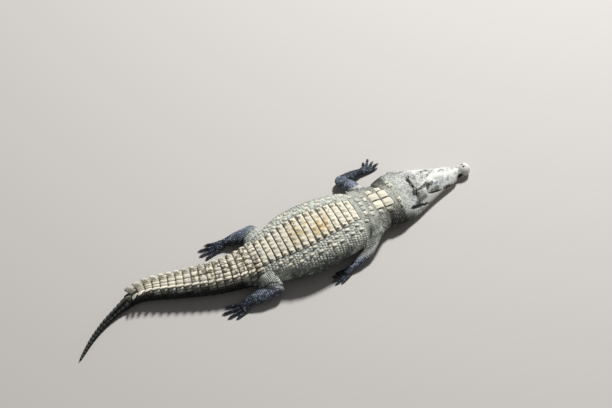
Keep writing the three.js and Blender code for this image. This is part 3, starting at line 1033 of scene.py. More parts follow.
class Shop:
    """Makes the nodes of one material."""

    def __init__(self, name: str) -> None:
        """Starts a material with its surface shader."""
        self.material = bpy.data.materials.new(name)
        self.material.use_nodes = True
        self.tree = self.material.node_tree
        self.surface = self.tree.nodes["Principled BSDF"]

    def node(
        self, kind: str, values: Sequence | dict = (), output: int | str = 0,
        stops: Sequence[tuple[float, Colour]] = (), **settings: str | bool
    ) -> Socket:
        """Adds one node.

        Args:
            kind: the node's type.
            values: numbers, colours or links of its inputs, in order or by name.
            output: which output is wanted.
            stops: places and colours of a ramp.
            settings: the node's own options, which are set first.

        Returns:
            The wanted output.
        """
        node = self.tree.nodes.new(kind)
        for key, value in settings.items():
            setattr(node, key, value)
        if stops:
            first, last = node.color_ramp.elements
            ends = [(first, stops[0]), (last, stops[-1])]
            for element, (place, colour) in ends:
                element.position, element.color = place, (*colour, 1)
            for place, colour in stops[1:-1]:
                node.color_ramp.elements.new(place).color = (*colour, 1)
        pairs = values.items() if isinstance(values, dict) else enumerate(values)
        for key, value in pairs:
            self.feed(node.inputs[key], value)
        return node.outputs[output]

    def feed(self, target: Socket, value: object) -> None:
        """Gives an input a link, a number or a colour.

        Args:
            target: the input.
            value: what it is given.
        """
        if isinstance(value, Num):
            value = value.socket
        if isinstance(value, Socket):
            self.tree.links.new(value, target)
        elif isinstance(value, tuple) and target.type == "RGBA":
            target.default_value = (*value, 1)
        else:
            target.default_value = value

    def dress(self, **values: object) -> Material:
        """Feeds the surface shader's sockets, named with underscores for spaces.

        Args:
            values: a link, number or colour for each socket.

        Returns:
            The material.
        """
        for key, value in values.items():
            self.feed(self.surface.inputs[key.replace("_", " ")], value)
        return self.material

    def blend(self, share: Num | float, one: object, other: object, mode: str = "MIX") -> object:
        """One colour turning into another.

        Args:
            share: how much of the other there is.
            one: colour or link at 0.
            other: colour or link at 1.
            mode: how the two are mixed.

        Returns:
            The mixed colour.
        """
        values = {0: share, 6: one, 7: other}
        return self.node("ShaderNodeMix", values, 2, data_type="RGBA", blend_type=mode)

    def place(self) -> Socket:
        """Object coordinates."""
        return self.node("ShaderNodeTexCoord", output="Object")

    def noise(self, scale: float, detail: float = 3.0, stretch: Colour | None = None) -> Num:
        """Cloudy noise in the object's own space, about 0.5.

        Args:
            scale: how fine it is.
            detail: how many octaves it has.
            stretch: scale along each axis, if uneven.

        Returns:
            The noise, from 0 to 1.
        """
        where = self.place()
        if stretch:
            where = self.node("ShaderNodeMapping", {"Vector": where, "Scale": stretch})
        values = {"Vector": where, "Scale": scale, "Detail": detail}
        return Num(self, self.node("ShaderNodeTexNoise", values))

    def cells(self, scale: float, feature: str = "F1") -> Num:
        """Distances in a cellular pattern in the object's own space."""
        values = {"Vector": self.place(), "Scale": scale}
        return Num(self, self.node("ShaderNodeTexVoronoi", values, "Distance", feature=feature))

    def layer(self, name: str) -> tuple[Num, Num, Num]:
        """The three numbers of a stored vector.

        Args:
            name: the layer's name.

        Returns:
            Its three numbers.
        """
        stored = self.node("ShaderNodeAttribute", output="Vector", attribute_name=name)
        split = self.node("ShaderNodeSeparateXYZ", (stored,)).node
        return tuple(Num(self, socket) for socket in split.outputs)

    def number(self, name: str) -> Num:
        """A stored number."""
        return Num(self, self.node("ShaderNodeAttribute", output="Fac", attribute_name=name))

    def bump(self, height: Num, distance: float, strength: float = 1.0) -> Socket:
        """A normal roughened by a height."""
        values = {"Strength": strength, "Distance": distance, "Height": height}
        return self.node("ShaderNodeBump", values)


@dataclass(frozen=True)
class Reading:
    """What the hide's finish knows about a place: its stored layers and its noises."""

    station: Num
    back: Num
    limb: Num
    luck: Num
    cream: Num
    broad: Num
    fine: Num


@dataclass(frozen=True)
class HideFinish:
    """Colour of skin and scales: one set of markings, which both take from the same places."""

    cream: Colour = (0.70, 0.65, 0.52)
    pale: Colour = (0.49, 0.515, 0.465)
    moss: Colour = (0.135, 0.160, 0.145)
    # Painted shade low on the flanks and legs and down the side of the neck.
    shade: Colour = (0.020, 0.024, 0.024)
    belly: Colour = (0.42, 0.39, 0.28)
    coal: Colour = (0.010, 0.011, 0.013)
    slate: Colour = (0.038, 0.047, 0.070)
    # Painted highlight of the legs' tops, and their painted glints.
    slate_pale: Colour = (0.25, 0.29, 0.36)
    bone: Colour = (0.66, 0.66, 0.625)
    mottle: Colour = (0.12, 0.145, 0.17)
    # Olive patches below the eyes: painted shade on the side of the upper jaw.
    olive: Colour = (0.085, 0.105, 0.070)
    ochre: Colour = (0.58, 0.40, 0.16)
    umber: Colour = (0.090, 0.062, 0.025)
    # Painted shade in the gaps between scales, in creases and beside keels.
    groove: Colour = (0.022, 0.021, 0.019)

    def make(self, name: str) -> Material:
        """Makes the material.

        Args:
            name: the material's name.

        Returns:
            A material that reads the layers lie, scale, mark and face.
        """
        shop = Shop(name)
        station, back, limb = shop.layer("lie")
        rise, luck, cream = shop.layer("scale")
        mark = shop.number("mark")
        broad, fine, grain = shop.noise(5.5), shop.noise(34.0, 4.0), shop.noise(170.0, 3.0)
        at = Reading(station, back, limb, luck, cream, broad, fine)
        # The ramp darkens downwards from the back; on flanks and legs that dark is partly painted
        # shade.
        on_leg = limb.eased(0.0, 0.10)
        level = back * (1 - 0.50 * on_leg) + 0.36 * on_leg
        level = level + (broad - 0.5) * 0.16 + (luck - 0.5) * 0.05
        colour = self._trunk(shop, level)
        # Painted shade down the side of the neck.
        neck = station.within(0.70, 0.845, 0.035) * (1 - (level - 0.02).eased(0.66, 0.90))
        colour = shop.blend(neck * level.eased(0.12, 0.22) * 0.92, colour, self.shade)
        colour = self._tail(shop, colour, at)
        colour = self._head(shop, colour, at)
        colour = self._leg(shop, colour, at)
        creamy = cream * (0.86 + 0.14 * luck)
        colour = shop.blend(creamy, colour, self.cream)
        colour = self._stains(shop, colour, at)
        colour = shop.blend((fine - 0.5).most(0.0) * 0.9, colour, self.moss)
        ripple = shop.noise(9.0, 4.0, (9.0, 1.6, 1.6)).mapped(0.36, 0.62, 0.68, 1.10)
        trunk = station.eased(0.64, 0.78) * (1 - cream)
        wrinkle = 1 + (ripple - 1) * trunk
        uneven = 1 + (luck - 0.5) * (0.42 - 0.26 * cream)
        dotted = shop.cells(62.0).eased(0.28, 0.72) * station.within(0.52, 0.96, 0.07)
        dotted = dotted * (1 - cream)
        tone = uneven * (0.80 + 0.40 * fine) * (0.90 + 0.20 * grain) * wrinkle
        tone = tone * (1.10 - 0.48 * dotted)
        pebbled = station.within(0.60, 0.98, 0.06) * 0.45
        # Low parts of each scale and the gaps between scales darken: painted shade.
        depth = (0.32 + 0.68 * cream.eased(0.3, 0.7) + 0.30 * on_leg + pebbled).least(1.0)
        tone = tone * (1 - 0.65 * depth * (1 - rise.eased(0.05, 0.75)))
        tone = shop.node("ShaderNodeCombineColor", (tone, tone, tone))
        colour = shop.blend(1.0, colour, tone, "MULTIPLY")
        colour = shop.blend((1 - rise.eased(0.0, 0.35)) * 0.85 * depth, colour, self.groove)
        # mark: painted shade in creases and hollows, and painted keel shadows.
        colour = shop.blend(mark.least(1.0), colour, self.groove)
        rough = (0.62 + 0.25 * fine) - 0.30 * limb.eased(0.15, 0.5)
        pebbles = (1 - shop.cells(78.0).eased(0.1, 0.6)) * station.within(0.50, 0.70, 0.06)
        height = fine * 0.5 + grain * 0.35 + shop.cells(150.0) * 0.3 + pebbles * 2.2
        return shop.dress(
            Base_Color=colour, Roughness=rough, Normal=shop.bump(height, 0.0016, 0.6),
            Specular_IOR_Level=0.25
        )

    def _trunk(self, shop: Shop, level: Num) -> object:
        """Pale back, grey-green flank, dark lower flank and yellowish belly; the dark of the lower
        flank is partly painted shade.

        Args:
            shop: makes the nodes.
            level: nearness to the middle of the back.

        Returns:
            The colour.
        """
        # The shade band low on the flank is partly painted shade.
        stops = (
            (0.0, self.belly), (0.16, self.belly), (0.24, self.shade), (0.42, self.shade),
            (0.56, self.moss), (0.70, self.pale), (1.0, self.pale)
        )
        return shop.node("ShaderNodeValToRGB", (level,), stops=stops)

    def _tail(self, shop: Shop, colour: object, at: Reading) -> object:
        """Near-black sides of the tail, partly their own dark colour and partly painted shade, and
        its dark end.

        Args:
            shop: makes the nodes.
            colour: what it is painted over.
            at: what is known of the place.

        Returns:
            The new colour.
        """
        tail = at.station.eased(1.76, 1.92)
        # Near-black down both sides of the tail: partly painted shade.
        side = 1 - (at.back + (at.luck - 0.5) * 0.10).eased(0.60, 0.80)
        colour = shop.blend(tail * side * 0.97, colour, self.coal)
        end = at.station.eased(2.74, 2.92)
        return shop.blend(end * (0.84 + 0.12 * at.luck), colour, self.coal)

    def _head(self, shop: Shop, colour: object, at: Reading) -> object:
        """Bone-pale head, with its grey patches, fine cracks, and green patches that are painted
        shade on the side of the upper jaw.

        Args:
            shop: makes the nodes.
            colour: what it is painted over.
            at: what is known of the place.

        Returns:
            The new colour.
        """
        grey, green, cracked = shop.layer("face")
        edge = shop.cells(46.0, "DISTANCE_TO_EDGE")
        crack = (1 - edge.eased(0.0, 0.17)) * cracked * at.fine.eased(0.38, 0.50)
        cloud = (at.fine * 0.9 + shop.noise(90.0, 2.0) * 0.3).eased(0.48, 0.64)
        rear = at.station.eased(0.36, 0.58) * (0.10 + 0.22 * cloud)
        bone = shop.blend((grey * cloud).most(rear), self.bone, self.mottle)
        # Green patches: painted shade on the side of the upper jaw.
        bone = shop.blend((green * (0.5 + 0.5 * cloud)).least(0.95), bone, self.olive)
        bone = shop.blend((crack * 0.9).least(0.9), bone, self.coal)
        return shop.blend(1 - at.station.eased(0.555, 0.675), colour, bone)

    def _leg(self, shop: Shop, colour: object, at: Reading) -> object:
        """Slate legs with painted highlights on their tops and painted glints, darkest at the
        feet.

        Args:
            shop: makes the nodes.
            colour: what it is painted over.
            at: what is known of the place.

        Returns:
            The new colour.
        """
        leg = at.limb.eased(0.10, 0.38)
        top = (at.back + (at.luck - 0.5) * 0.3).eased(0.50, 0.95) * (1 - at.limb.eased(0.30, 0.80))
        # Painted highlight on the upper side of the leg.
        slate = shop.blend(at.limb.eased(0.60, 0.90) * 0.45, self.slate, self.coal)
        slate = shop.blend(top * 0.75, slate, self.slate_pale)
        # Painted glints on the scales.
        glint = (at.luck * at.fine).eased(0.26, 0.44) * (0.85 - 0.45 * at.limb.eased(0.5, 0.9))
        slate = shop.blend(glint, slate, self.slate_pale)
        return shop.blend(leg, colour, slate)

    def _stains(self, shop: Shop, colour: object, at: Reading) -> object:
        """Yellow stains over the middle of the back, dark specks partly dirt and partly painted
        keel shadow, and brown ones where the tail starts.

        Args:
            shop: makes the nodes.
            colour: what it is painted over.
            at: what is known of the place.

        Returns:
            The new colour.
        """
        middle = at.station.within(1.34, 1.58, 0.08) * at.back.eased(0.80, 0.95)
        patch = middle * (at.fine * 0.7 + at.broad * 0.5).eased(0.54, 0.64)
        colour = shop.blend(patch * 0.85 * at.cream, colour, self.ochre)
        armour = at.cream * at.station.within(0.98, 2.30, 0.10) * at.back.eased(0.70, 0.80)
        # Dark specks on the plates: partly dirt, partly painted keel shadow.
        specks_and_keel_shadow = (1 - shop.cells(27.0).eased(0.10, 0.26)) * at.luck.eased(0.20, 0.45)
        flecks = (1 - shop.cells(64.0).eased(0.16, 0.34)) * at.fine.eased(0.46, 0.60)
        specks_and_keel_shadow = specks_and_keel_shadow.most(flecks * 0.75)
        colour = shop.blend(specks_and_keel_shadow * armour * 0.85, colour, self.umber)
        cloud = (at.fine * 0.95 + at.luck * 0.10).eased(0.52, 0.60)
        root = at.station.within(1.94, 2.40, 0.10) * cloud * 0.9
        return shop.blend(root * at.cream * at.back.eased(0.45, 0.60), colour, self.umber)


@dataclass(frozen=True)
class HornFinish:
    """Dull dark horn of the claws, or ivory of the teeth, shading from root to tip."""

    root: Colour
    tip: Colour
    roughness: float

    def make(self, name: str) -> Material:
        """Makes the material, which reads the layer rise from root 0 to tip 1.

        Args:
            name: the material's name.

        Returns:
            The material.
        """
        shop = Shop(name)
        share = shop.number("rise")
        streaks = shop.noise(90.0, 4.0)
        colour = shop.blend((share + (streaks - 0.5) * 0.5).eased(0.1, 0.9), self.root, self.tip)
        rough = streaks * 0.3 + (self.roughness - 0.15)
        return shop.dress(Base_Color=colour, Roughness=rough, Normal=shop.bump(streaks, 0.0006))


@dataclass(frozen=True)
class EyeFinish:
    """Wet olive eye with a slit pupil."""

    iris: Colour = (0.15, 0.12, 0.045)
    rim: Colour = (0.05, 0.045, 0.02)
    pupil: Colour = (0.004, 0.004, 0.004)
    white: Colour = (0.30, 0.24, 0.15)

    def make(self, name: str) -> Material:
        """Makes the material, which reads the layer gaze: the eye's own unit coordinates.

        Args:
            name: the material's name.

        Returns:
            The material.
        """
        shop = Shop(name)
        across, upward, ahead = shop.layer("gaze")
        radial = across * across + upward * upward
        rays = shop.noise(420.0, 4.0)
        iris = shop.blend(rays.eased(0.35, 0.7), self.rim, self.iris)
        iris = shop.blend(radial.eased(0.30, 0.48), iris, self.rim)
        white = radial.eased(0.46, 0.52) + (1 - ahead.eased(0.0, 0.1))
        colour = shop.blend(white, iris, self.white)
        slit = 1 - (across * across * 60 + upward * upward * 2.6).eased(0.75, 1.0)
        colour = shop.blend(slit * ahead.eased(0.0, 0.2), colour, self.pupil)
        return shop.dress(Base_Color=colour, Roughness=0.08, Coat_Weight=1.0, Coat_Roughness=0.03)


@dataclass(frozen=True)
class FloorFinish:
    """Plain pale studio floor."""

    colour: Colour = (0.54, 0.52, 0.495)

    def make(self, name: str) -> Material:
        """Makes the material."""
        return Shop(name).dress(Base_Color=self.colour, Roughness=0.9)


# ---------------------------------------------------------------- body and legs


@dataclass
class Body:
    """Neck, trunk and tail as one hide round the line of the back."""

    nodes: Nodes
    head: "HeadFrame"
    step: float = 0.010
    waist: float = 0.42
    reach: float = 0.45
    coat: Pair = (0.0065, 0.0035)
    thin_tail: float = 0.55
    thin_over: float = 0.9
    nudge: float = 0.004
    probe: float = 0.02
    collar: float = 0.07
    # Creases of the neck and shoulders: along, share across, depth, width, painted shade, slant.
    creases: tuple[Fold, ...] = (
        Fold(0.168, (0.30, 0.92), 0.014, 0.017, 1.0, slant=0.10),
        Fold(0.300, (0.30, 0.80), 0.005, 0.010, 0.35, slant=0.05),
        Fold(0.385, (0.36, 0.46), 0.012, 0.022, 0.95)
    )
    solids: Solids = field(init=False)
    hide: Hide = field(init=False)
    tail_start: float = field(init=False)
    end_start: float = field(init=False)

    def __post_init__(self) -> None:
        """Measures the body."""
        self.solids = Solids(self.nodes, ("skull", "lower_jaw") + TRUNK_NODES + TAIL_NODES)
        axis = self._axis()
        tailor = HideTailor()
        self.hide = tailor.wrap(
            "body", axis, self.solids, self.reach, self._depth(len(axis) * self.step), opening=2,
            station=self.head.length, lead=self.head.back
        )
        self.hide = self.hide.folded(self.creases)
        self.tail_start = self._along_of("trunk_rear", "tail_1")
        self.end_start = self._along_of("tail_3", "tail_4")

    def _depth(self, length: float) -> Thickness:
        """Thickness of the coat: thickest on the back, thinner below and down the tail.

        Args:
            length: length of the body.

        Returns:
            The thickness, as a function of along and the share across.
        """

        def depth(along: Array, share: Array) -> Array:
            """Thickness at a place."""
            top, under = self.coat
            base = top + (under - top) * ease(share, 0.3, 0.8)
            base = base * (0.15 + 0.85 * ease(along, 0.0, self.collar))
            return base * (1 - self.thin_tail * ease(along, length - self.thin_over, length))

        return depth

    def _along_of(self, ahead: str, behind: str) -> float:
        """Place down the back where two neighbouring nodes meet.

        Args:
            ahead: the front node.
            behind: the next one.

        Returns:
            Metres down the body.
        """
        centre = meeting_place(Solids(self.nodes, [ahead]), Solids(self.nodes, [behind]))
        middle = self.hide.points.mean(axis=1)
        return float(self.hide.arcs[np.linalg.norm(middle - centre, axis=1).argmin()])

    def _axis(self) -> Array:
        """Line through the middles of the sections, from the head to the end of the tail.

        Returns:
            (n, 3) places at even steps.
        """
        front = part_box("skull")[0].x
        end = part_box("tail_5")[0].x
        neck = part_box("neck")
        y = (neck[0].y + neck[1].y) / 2
        rows, drift = [], 0.0
        for x in np.arange(front - 0.002, end + 0.006, -self.probe):
            top = self.solids.top(x, y + drift)
            if math.isnan(top):
                break
            drift += self._offset(np.array([x, y + drift, self.waist * top]), np.eye(3)[1])
            y += drift
            rows.append((x, y, self.solids.top(x, y)))
        line = resampled(np.array(rows), self.step)
        line[:, 2] = opened(line[:, 2:3], 4)[:, 0] * self.waist
        for _ in range(2):
            line = blurred(line, 2.5, 0)
            flat = unit(np.gradient(line, axis=0) * [1, 1, 0])
            sides = np.cross(flat, UP)
            shifts = np.array([self._offset(c, s) for c, s in zip(line, sides)])
            shifts[:4] = 0
            line = line + sides * np.clip(shifts, -self.nudge, self.nudge)[:, None]
        return resampled(blurred(line, 2.0, 0), self.step)

    def _offset(self, centre: Array, side: Array) -> float:
        """How far the middle of the section lies to one side of a centre.

        Args:
            centre: a place inside.
            side: unit vector to one side.

        Returns:
            The distance, or 0 where it is open.
        """
        left = self.solids.radius(centre, side, self.reach)
        right = self.solids.radius(centre, -side, self.reach)
        return 0.0 if math.isnan(left + right) else (left - right) / 2


@dataclass
class Toe:
    """Upper side of one toe, as a surface that takes scales."""

    start: Array
    end: Array
    radius: float
    patch: Quad

    @property
    def length(self) -> float:
        """Length from knuckle to claw."""
        return float(np.linalg.norm(self.end - self.start))

    def place(self, along: Array, across: Array, height: Array) -> Array:
        """Places over the toe, as for a hide.

        Args:
            along: metres down the axis.
            across: metres round from the middle of the back.
            height: metres above the toe.

        Returns:
            Places in the model's frame.
        """
        forward = unit((self.end - self.start) * [1, 1, 0])
        side = np.cross(forward, UP)
        radius = self.radius * (1.06 - 0.22 * along / self.length)
        angle = (across / radius)[..., None]
        middle = self.start + (self.end - self.start) * (along / self.length)[..., None]
        out = np.sin(angle) * side + np.cos(angle) * UP
        return middle + out * (radius + height)[..., None]

    def lie(self, along: Array, across: Array) -> Array:
        """What the markings follow, as for a hide."""
        back = 1 - np.abs(across) / (math.pi * self.radius)
        return np.stack([np.full_like(along, 1.5), back, np.full_like(along, 1.0)], -1)

    def spread(self, along: Array, across: Array) -> Array:
        """Place on the unwrap of the skin, as for a hide.

        Args:
            along: metres down the axis.
            across: metres round from the middle of the back.

        Returns:
            (..., 2) place on the unwrap.
        """
        left, low, wide, high = self.patch
        share = across / (2 * math.pi * self.radius) + 0.5
        return np.stack([left + wide * along / self.length, low + high * share], -1)

    def shades(self, along: Array, across: Array) -> Array:
        """Dark marks, of which a toe has none."""
        return np.zeros_like(along)


@dataclass
class Leg:
    """One leg: its line from the hip or shoulder to the knuckles, its hide and its toes."""

    name: str
    parts: tuple[str, str, str]
    joints: tuple[Triple, ...]
    tips: tuple[Pair, ...]
    palm: float
    digit: float
    corner: Pair
    claws: int = 3
    claw_length: float = 0.026
    step: float = 0.008
    reach: float = 0.13
    coat: float = 0.0032
    bend: float = 0.34
    fan: float = 0.74
    root: Pair = (0.10, 0.012)
    late: float = 1.0
    shoulder: Pair = (0.72, 0.13)
    mingle: float = 0.11
    hide: Hide = field(init=False)
    toes: list[Toe] = field(init=False)

    @property
    def foot(self) -> str:
        """The node of the hand or foot."""
        return f"{self.name}_{self.parts[2]}"

    @property
    def nodes(self) -> list[str]:
        """The nodes of flesh."""
        return [f"{self.name}_{part}" for part in self.parts]

    def measure(self, nodes: Nodes) -> None:
        """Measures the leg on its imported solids.

        Args:
            nodes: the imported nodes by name.
        """
        points = np.array(self.joints)
        line = [points[:1]]
        share = np.linspace(0, 1, 7)[:, None]
        for before, joint, after in zip(points, points[1:], points[2:]):
            one, other = (joint + (end - joint) * self.bend for end in (before, after))
            bow = one * (1 - share) ** 2 + joint * 2 * share * (1 - share) + other * share**2
            line.append(bow)
        axis = resampled(np.concatenate([*line, points[-1:]]), self.step)
        self.hide = HideTailor(facets=60).wrap(
            self.name,
            axis,
            Solids(nodes, self.nodes),
            self.reach,
            lambda along, share: self.coat + 0 * along * share,
            blur=(1.0, 1.6),
            limb=self.late,
            patch=(self.corner[0], self.corner[1], 0.22, 0.15),
        ).sunk(*self.root)
        self.toes = self._toes()

    def _toes(self) -> list[Toe]:
        """Lays out the toes from the knuckles to the roots of the claws.

        Returns:
            The toes, from the inner one out.
        """
        wrist, knuckle = np.array(self.joints[2]), np.array(self.joints[3])
        forward = unit((knuckle - wrist) * [1, 1, 0])
        left = np.cross(UP, forward)
        tips = [np.array([*tip, self.digit]) for tip in self.tips]
        order = math.copysign(1, float(np.dot(tips[-1] - tips[0], left)))
        toes = []
        for number, tip in enumerate(tips):
            share = 2 * number / (len(tips) - 1) - 1
            aside = order * share * self.palm * self.fan
            start = knuckle + left * aside - forward * 0.01 * share**2
            start[2] = self.digit + 0.002
            ahead = unit((tip - start) * [1, 1, 0])
            end = tip - ahead * (self.claw_length if number < self.claws else 0.004)
            patch = (self.corner[0] + 0.045 * number, self.corner[1] + 0.16, 0.035, 0.02)
            toes.append(Toe(start, end, self.digit - 0.002, patch))
        return toes

    @classmethod
    def all_four(cls) -> list["Leg"]:
        """The four legs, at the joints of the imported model.

        Returns:
            The legs, not measured yet.
        """
        arm, leg = ("upper_arm", "forearm", "hand"), ("thigh", "shank", "foot")
        return [
            # Far foreleg: its dark colours set in early and it takes little of the body's
            # markings: painted shade.
            cls(
                "foreleg_left", arm,
                (
                    (0.8308, 0.1255, 0.168), (0.7648, 0.3475, 0.062), (0.9668, 0.3535, 0.034),
                    (1.0368, 0.3555, 0.017)
                ),
                (
                    (1.1188, 0.3255), (1.1468, 0.3635), (1.1228, 0.4015), (1.0868, 0.4355),
                    (1.0348, 0.4275)
                ),
                0.040, 0.011, (0.01, 0.64), root=(0.11, 0.045), late=0.50, shoulder=(0.84, 0.17),
                mingle=0.05
            ),
            # Near foreleg: its dark colours set in late, so it stays pale past the elbow: painted
            # sunlight.
            cls(
                "foreleg_right", arm,
                (
                    (0.8188, -0.1945, 0.158), (0.6308, -0.3295, 0.066), (0.4608, -0.3675, 0.036),
                    (0.3948, -0.3805, 0.017)
                ),
                (
                    (0.3188, -0.4385), (0.2748, -0.4225), (0.2648, -0.3905), (0.2888, -0.3585),
                    (0.3268, -0.3425)
                ),
                0.040, 0.011, (0.26, 0.64), root=(0.11, 0.045), late=1.9, shoulder=(0.86, 0.18)
            ),
            cls(
                "hindleg_left", leg,
                (
                    (-0.1132, 0.0855, 0.150), (-0.0852, 0.2715, 0.084), (-0.2872, 0.3195, 0.044),
                    (-0.3792, 0.3315, 0.018)
                ),
                ((-0.4462, 0.3995), (-0.5152, 0.3755), (-0.5272, 0.3275), (-0.4872, 0.2815)),
                0.048, 0.012, (0.51, 0.64)
            ),
            cls(
                "hindleg_right", leg,
                (
                    (-0.1712, -0.1145, 0.150), (-0.1452, -0.2485, 0.082),
                    (-0.3612, -0.2325, 0.050), (-0.4512, -0.2425, 0.018)
                ),
                ((-0.5372, -0.2985), (-0.5932, -0.2625), (-0.6152, -0.2085), (-0.5592, -0.1705)),
                0.052, 0.012, (0.76, 0.64)
            )
        ]


# ---------------------------------------------------------------- head


@dataclass
class HeadFrame:
    """The head's own coordinates: u back from the snout, v to its left, z up."""

    tip: Array
    back: Array
    left: Array
    length: float
    mouth: Arrays

    @classmethod
    def measured(cls, nodes: Nodes) -> "HeadFrame":
        """Reads the head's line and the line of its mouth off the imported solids.

        Args:
            nodes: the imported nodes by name.

        Returns:
            The head's frame.
        """
        skull = Solids(nodes, ["skull"]).corners
        jaw = Solids(nodes, ["lower_jaw"])
        neck = Solids(nodes, ["neck"])
        tip = skull[skull[:, 0] > skull[:, 0].max() - 0.001].mean(axis=0)
        rear = meeting_place(Solids(nodes, ["skull"]), neck)
        back = unit((rear - tip) * [1, 1, 0])
        left = np.cross(UP, -back)
        length = float(np.dot(rear - tip, back))
        along = (jaw.corners - tip) @ back
        stations = np.arange(0.0, length, 0.02)
        lips = [jaw.corners[np.abs(along - s) < 0.025][:, 2].max() for s in stations]
        return cls(tip * [1, 1, 0], back, left, length, (stations, np.array(lips)))

    def place(self, u: float, v: float, z: float) -> Array:
        """A place in the model's frame."""
        return self.tip + self.back * u + self.left * v + UP * z

    def read(self, points: Array) -> Arrays:
        """Head coordinates of places in the model's frame."""
        moved = points - self.tip
        return moved @ self.back, moved @ self.left, points[..., 2]

    def mouth_height(self, u: Array) -> Array:
        """Height of the line between the jaws."""
        return np.interp(u, *self.mouth)


@dataclass(frozen=True)
class Stroke:
    """One soft push of the head's skin, on both sides where it is off the middle."""

    at: Triple
    size: Triple
    push: float = 0.0
    # Painted shade in the hollow that the push makes, such as the nostrils and the notch behind
    # the nose bulb.
    dark: float = 0.0
    grey: float = 0.0
    # Olive patch: painted shade on the side of the upper jaw.
    green: float = 0.0
    cracked: float = 0.0

    def weight(self, u: Array, v: Array, z: Array) -> Array:
        """How much each place feels the stroke.

        Args:
            u, v, z: head coordinates of the places.

        Returns:
            The weights, from 0 to 1.
        """
        total = np.zeros_like(u)
        for sign in [1, -1] if self.at[1] else [1]:
            du = (u - self.at[0]) / self.size[0]
            dv = (v - sign * self.at[1]) / self.size[1]
            dz = (z - self.at[2]) / self.size[2]
            total += np.exp(-(du * du + dv * dv + dz * dz))
        return np.minimum(total, 1.0)


@dataclass(frozen=True)
class Line:
    """One thin dark line over the head's skin, on both sides: painted shade in a crease round the
    mouth and cheeks.
    """

    points: tuple[Triple, ...]
    widths: tuple[float, ...]
    push: float = 0.0
    side_weight: float = 0.4

    def weight(self, u: Array, v: Array, z: Array) -> Array:
        """How much each place lies on the line.

        Args:
            u, v, z: head coordinates of the places.

        Returns:
            The weights, from 0 to 1.
        """
        scale = np.array([1.0, self.side_weight, 1.0])
        places = np.stack([u, np.abs(v), z], -1) * scale
        gap = np.full(len(u), np.inf)
        for number in range(len(self.points) - 1):
            start, end = (np.array(self.points[number + step]) * scale for step in (0, 1))
            way = end - start
            share = np.clip((places - start) @ way / (way @ way), 0, 1)
            width = self.widths[number] * (1 - share) + self.widths[number + 1] * share
            apart = np.linalg.norm(places - start - share[:, None] * way, axis=1)
            gap = np.minimum(gap, apart / width)
        return 1 - ease(gap, 0.7, 1.4)


@dataclass
class Eye:
    """One eye: its ball, and the socket and lids that the skin makes round it."""

    side: Side
    frame: HeadFrame
    material: Material
    centre: Array = field(init=False)
    radius: float = field(init=False)
    axes: Array = field(init=False)

    def __post_init__(self) -> None:
        """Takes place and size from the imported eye."""
        low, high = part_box(self.node)
        self.centre = (np.array(low) + np.array(high)) / 2
        self.radius = float(high.z - low.z) / 2
        ahead = unit(self.frame.left * self.side.value * 0.86 + UP * 0.46 - self.frame.back * 0.22)
        across = unit(np.cross(UP, ahead))
        self.axes = np.stack([across, np.cross(ahead, across), ahead])

    @property
    def node(self) -> str:
        """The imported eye."""
        return f"eye_{self.side.name.lower()}"

    def carve(self, points: Array) -> Arrays:
        """Opens the lids and raises their rims.

        Args:
            points: places of the skin's vertices.

        Returns:
            The moved places, and how dark each is from the rim of the lids.
        """
        local = (points - self.centre) @ self.axes.T
        reach = np.linalg.norm(local, axis=1)
        x, y, z = (local / np.maximum(reach, 1e-9)[:, None]).T
        almond = (np.abs(x) / 0.84) ** 1.7 + (np.abs(y - 0.08) / 0.60) ** 2
        near = (z > 0.05) & (reach < self.radius * 2.4)
        lid = self.radius * (0.86 + 0.29 * ease(almond, 0.85, 1.25))
        goal = lid + (reach - lid) * ease(almond, 1.5, 3.6)
        goal = np.where(near, goal, reach)
        moved = self.centre + (local * (goal / np.maximum(reach, 1e-9))[:, None]) @ self.axes
        # Painted shade along the rims of the lids and in the furrow round them.
        dark = np.where(near, np.exp(-(((almond - 1.0) / 0.35) ** 2)) * 0.8, 0.0)
        furrow = np.where(near, np.exp(-(((almond - 2.3) / 0.4) ** 2)) * 0.35, 0.0)
        return np.where(near[:, None], moved, points), dark + furrow

    def build(self) -> Piece:
        """Models the eyeball, a little fuller over the iris.

        Returns:
            The eyeball.
        """
        form = bmesh.new()
        bmesh.ops.create_uvsphere(form, u_segments=32, v_segments=24, radius=1.0)
        gaze = np.array([corner.co for corner in form.verts])
        swell = 0.97 + 0.06 * ease(gaze[:, 2], 0.6, 0.95)
        places = self.centre + (gaze * (swell * self.radius)[:, None]) @ self.axes
        move_to(form, places)
        bmesh.ops.recalc_face_normals(form, faces=form.faces)
        mesh = mesh_of(form, f"eyeball_{self.side.name.lower()}")
        set_point_data(mesh, gaze=gaze)
        piece = put_in_scene(mesh, mesh.name, Slot.EYE, self.material)
        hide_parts(self.node)
        return piece


